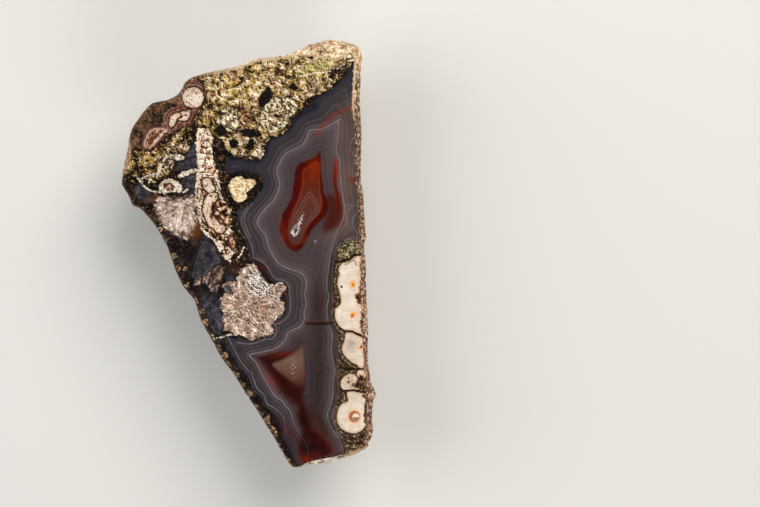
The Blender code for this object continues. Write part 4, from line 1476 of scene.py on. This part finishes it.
def paint_lines(s, under):
    """Pale band lines, white crusts, cracks and rust lines."""
    fade = s.scaled(s.noise(8, 2), 0.35, 0.65, 0.55, 1)
    low = s.step(s.y, 400, 446) * s.step(s.x, 324, 318)
    fade *= s.scaled(low, 0, 1, 1, 0.12)
    under.lay(s.line("pale", 0.2, 0.9) * fade * 0.58, (134, 121, 121))
    under.lay(s.line("pale", 0.1, 0.9, offset=3.2) * fade * 0.22, (114, 101, 102))
    under.lay(s.line("pale", 0.1, 0.9, offset=-3) * fade * 0.18, (110, 97, 99))
    under.lay(s.line("rust", 0.4, 1.8, reach=2) * fade * 0.66, (72, 36, 15))
    under.lay(s.line("dark", 0.45, 0.7) * 0.9, (20, 12, 9))
    broken = s.step(s.noise(2.4, 2, 0.6), 0.4, 0.54)
    under.lay(s.line("white", 0.5, 0.7) * broken * 0.9, (222, 206, 184))


def paint_rim(s, under):
    """The thin crust where the rind meets the cut."""
    white = s.step("tube", -0.5, 1) * s.step(s.x, 300, 320)
    stain = s.step(s.noise(2.6, 4, 0.68), 0.5, 0.6)
    stain = stain * white * s.step("rim", 5, 1.5) * 0.6
    under.lay(stain, (132, 88, 64))
    rim = s.read("rim") + s.sway(6, 4, 4, 0.68) + white * 1.7
    crust = s.ramp(s.noise(2.6, 4, 0.68), (0.36, 26, 15, 10), (0.46, 70, 46, 32),
                   (0.55, 122, 92, 66), (0.63, 178, 150, 114), (0.74, 234, 218, 190))
    right = s.step(s.x, 340, 352)
    top = s.step(s.y, 130, 100)
    crust.lay(top * s.step(s.x, 200, 230) * 0.6, (222, 194, 154))
    amount = s.math("MINIMUM", right * 0.8 + top * 0.7 + 0.1, 1)
    under.lay(s.step(rim, 3, 1.4) * amount, crust)
    fleck = s.read("fleck") + s.sway(5, 2.6, 3)
    under.lay(s.step(fleck, -0.4, 0.5), crust)
    under.lay(s.within("crystal", 0.7, 0.9) * 0.8, (34, 38, 44))
    under.lay(s.spot("amber") * 0.85, (88, 50, 20))


def paint_vug(s, under):
    """Small crystals that line the open hollow, and the sparkle of the lower core."""
    vug = s.read("vug")
    crystals = s.ramp(s.noise(1.7, 3, 0.7), (0.38, 64, 38, 30), (0.47, 146, 114, 100),
                      (0.54, 252, 248, 244))
    rough = s.sway(1.5, 2.4, 3, 0.6)
    ragged = vug + rough
    ring = s.step(ragged, -0.15, 0.05) * s.step(ragged, 0.74, 0.5)
    deep = s.mix(ring, (44, 28, 24), crystals)
    under.lay(s.step(ragged, -0.22, 0.02), deep)
    glints = s.spot("glint") * s.step(s.noise(1.6, 1, 0.6) + s.read("glint") * 0.05, 0.6, 0.7)
    under.lay(glints * 0.8, (214, 190, 176))


def cut_material():
    """The polished cut, painted from its ground up."""
    s = Shader("polished_agate")
    colour = paint_ground(s)
    for paint in (paint_brown, paint_pockets, paint_bands, paint_reds, paint_moss,
                  paint_lobes, paint_column, paint_cream, paint_sprays, paint_mantle,
                  paint_tubes, paint_lines, paint_rim, paint_vug):
        paint(s, colour)
    hollow = s.step("vug", -0.1, 0.1)
    return s.surface({"Base Color": colour, "IOR": 1.54, "Specular IOR Level": 0.36,
                      "Roughness": s.scaled(hollow, 0, 1, 0.16, 0.45)})


def rind_material():
    """Weathered rind: paler at the top, where its brightest flecks are painted highlight,
    reddish at the right, dark at the lower left.
    """
    s = Shader("weathered_rind")
    mottle = s.noise(16, 5, 0.62)
    colour = s.ramp(mottle, (0.3, 34, 24, 18), (0.42, 70, 50, 36), (0.52, 104, 79, 57),
                    (0.62, 142, 114, 84), (0.74, 188, 163, 128))
    patch = s.noise(34, 3, 0.55)
    colour.lay(s.step(patch, 0.52, 0.62) * 0.5, (138, 92, 58))
    colour.lay(s.step(patch, 0.46, 0.38) * 0.5, (72, 64, 56))
    # The rind's top is paler cream crust; the near-white flecks of this ramp are painted
    # highlight along the upper edge.
    top_crust_and_highlight = s.step(s.y, 128, 70) * s.step(s.x, 170, 250)
    fleck = s.noise(3.4, 4, 0.68)
    pale = s.ramp(fleck, (0.31, 50, 30, 18), (0.4, 126, 88, 56), (0.48, 204, 168, 124),
                  (0.57, 238, 214, 176), (0.68, 252, 246, 230))
    colour.lay(top_crust_and_highlight * 0.9, pale)
    flank = s.step(s.x, 345, 357) * s.step(s.y, 56, 84)
    red = s.ramp(fleck, (0.36, 26, 14, 9), (0.44, 74, 43, 28), (0.51, 128, 92, 68),
                 (0.58, 186, 156, 128), (0.68, 240, 226, 204))
    colour.lay(flank * 0.9, red)
    wander = s.sway(26, 14, 4, 0.6)
    across = s.x + wander
    upright = s.y + wander
    chip = s.step(across, 138, 130) * s.step(upright, 134, 148)
    chip *= s.step(upright, 182, 168)
    colour.lay(chip * s.step(fleck, 0.36, 0.56) * 0.7, (214, 166, 134))
    slope = s.step(s.x - s.y * 0.56, 92, 70)
    low_left = slope * s.step(s.y, 200, 225)
    dark = s.ramp(fleck, (0.42, 18, 12, 9), (0.54, 42, 29, 20), (0.61, 104, 82, 56),
                  (0.7, 196, 176, 138))
    colour.lay(low_left * 0.85, dark)
    foot = s.step(s.y + wander * 0.5, 442, 460)
    chalk = s.ramp(s.noise(5, 4, 0.62), (0.34, 88, 64, 44), (0.43, 156, 134, 112),
                   (0.52, 212, 198, 180), (0.64, 248, 242, 232))
    colour.lay(foot * 0.9, chalk)
    burnt = foot * s.step(s.x, 344, 354)
    colour.lay(burnt * s.step(fleck, 0.38, 0.52) * 0.85, (200, 132, 62))
    level = s.node("SeparateXYZ", {0: s.place}, "Z")
    deep = s.step(level + wander * 0.0001, 0.0205, 0.013)
    soil = s.ramp(mottle * 0.55 + patch * 0.45, (0.34, 52, 38, 28), (0.46, 92, 71, 52),
                  (0.54, 124, 99, 73), (0.66, 168, 142, 110))
    colour.lay(deep * 0.74, soil)
    colour.light(s.scaled(s.noise(24, 4, 0.6), 0.34, 0.66, 0.76, 1.32))
    pits = s.step(s.cells(6), 0.34, 0.08)
    colour.lay(pits * 0.45, (40, 27, 19))
    specks = s.step(s.noise(2.2, 2, 0.6), 0.6, 0.7)
    colour.lay(specks * 0.4, (58, 38, 26))
    coarse = s.noise(9, 4, 0.6)
    fine = s.noise(2.6, 3, 0.6)
    height = coarse * 0.6 + fine * 0.35 + pits * -0.3
    bump = s.node("Bump", {"Strength": 0.7, "Distance": 0.0006, "Height": height})
    return s.surface({"Base Color": colour, "Normal": bump, "Specular IOR Level": 0.4,
                      "Roughness": s.scaled(mottle, 0.3, 0.7, 0.62, 0.82)})


# The floor, the light and the view

def build_floor():
    mesh = bpy.data.meshes.new("floor")
    corners = [(-1, -1), (1, -1), (1, 1), (-1, 1)]
    mesh.from_pydata([(x * FLOOR_HALF, y * FLOOR_HALF, 0) for x, y in corners], [],
                     [(0, 1, 2, 3)])
    material = bpy.data.materials.new("pale_floor")
    material.use_nodes = True
    shader = material.node_tree.nodes["Principled BSDF"]
    shader.inputs["Base Color"].default_value = tone(*FLOOR_COLOUR)
    shader.inputs["Roughness"].default_value = FLOOR_ROUGHNESS
    mesh.materials.append(material)
    floor = bpy.data.objects.new("floor", mesh)
    bpy.context.collection.objects.link(floor)
    return floor


def add_light(name, place, size, power, colour):
    """A soft rectangular light that faces the stone."""
    data = bpy.data.lights.new(name, "AREA")
    data.shape = "RECTANGLE"
    data.size, data.size_y = size
    data.energy = power
    data.color = colour
    light = bpy.data.objects.new(name, data)
    light.location = place
    aim = Vector(LIGHT_AIM) - Vector(place)
    light.rotation_euler = aim.to_track_quat("-Z", "Y").to_euler()
    bpy.context.collection.objects.link(light)


def add_world():
    world = bpy.data.worlds.new("studio")
    world.use_nodes = True
    back = world.node_tree.nodes["Background"]
    back.inputs["Color"].default_value = (1.0, 1.0, 1.0, 1.0)
    back.inputs["Strength"].default_value = WORLD_LEVEL
    bpy.context.scene.world = world


def add_camera():
    """Straight above the middle of the photograph, which it shows whole."""
    data = bpy.data.cameras.new("camera")
    data.sensor_width = SENSOR_WIDTH
    data.lens = FOCAL_LENGTH
    data.clip_start, data.clip_end = CLIP
    camera = bpy.data.objects.new("camera", data)
    height = HALF_HEIGHT + PHOTO_WIDTH * PIXEL * FOCAL_LENGTH / SENSOR_WIDTH
    camera.location = ((PHOTO_WIDTH / 2 - MIDDLE_PX[0]) * PIXEL,
                       (MIDDLE_PX[1] - PHOTO_HEIGHT / 2) * PIXEL, height)
    bpy.context.collection.objects.link(camera)
    bpy.context.scene.camera = camera


stone = build_stone()
store_fields(stone)
stone.data.materials.append(cut_material())
stone.data.materials.append(rind_material())
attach(stone, "root")
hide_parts("agate_half")

floor = build_floor()
for light in LIGHTS:
    add_light(*light)
add_world()
add_camera()
bpy.context.scene.view_settings.view_transform = "Standard"
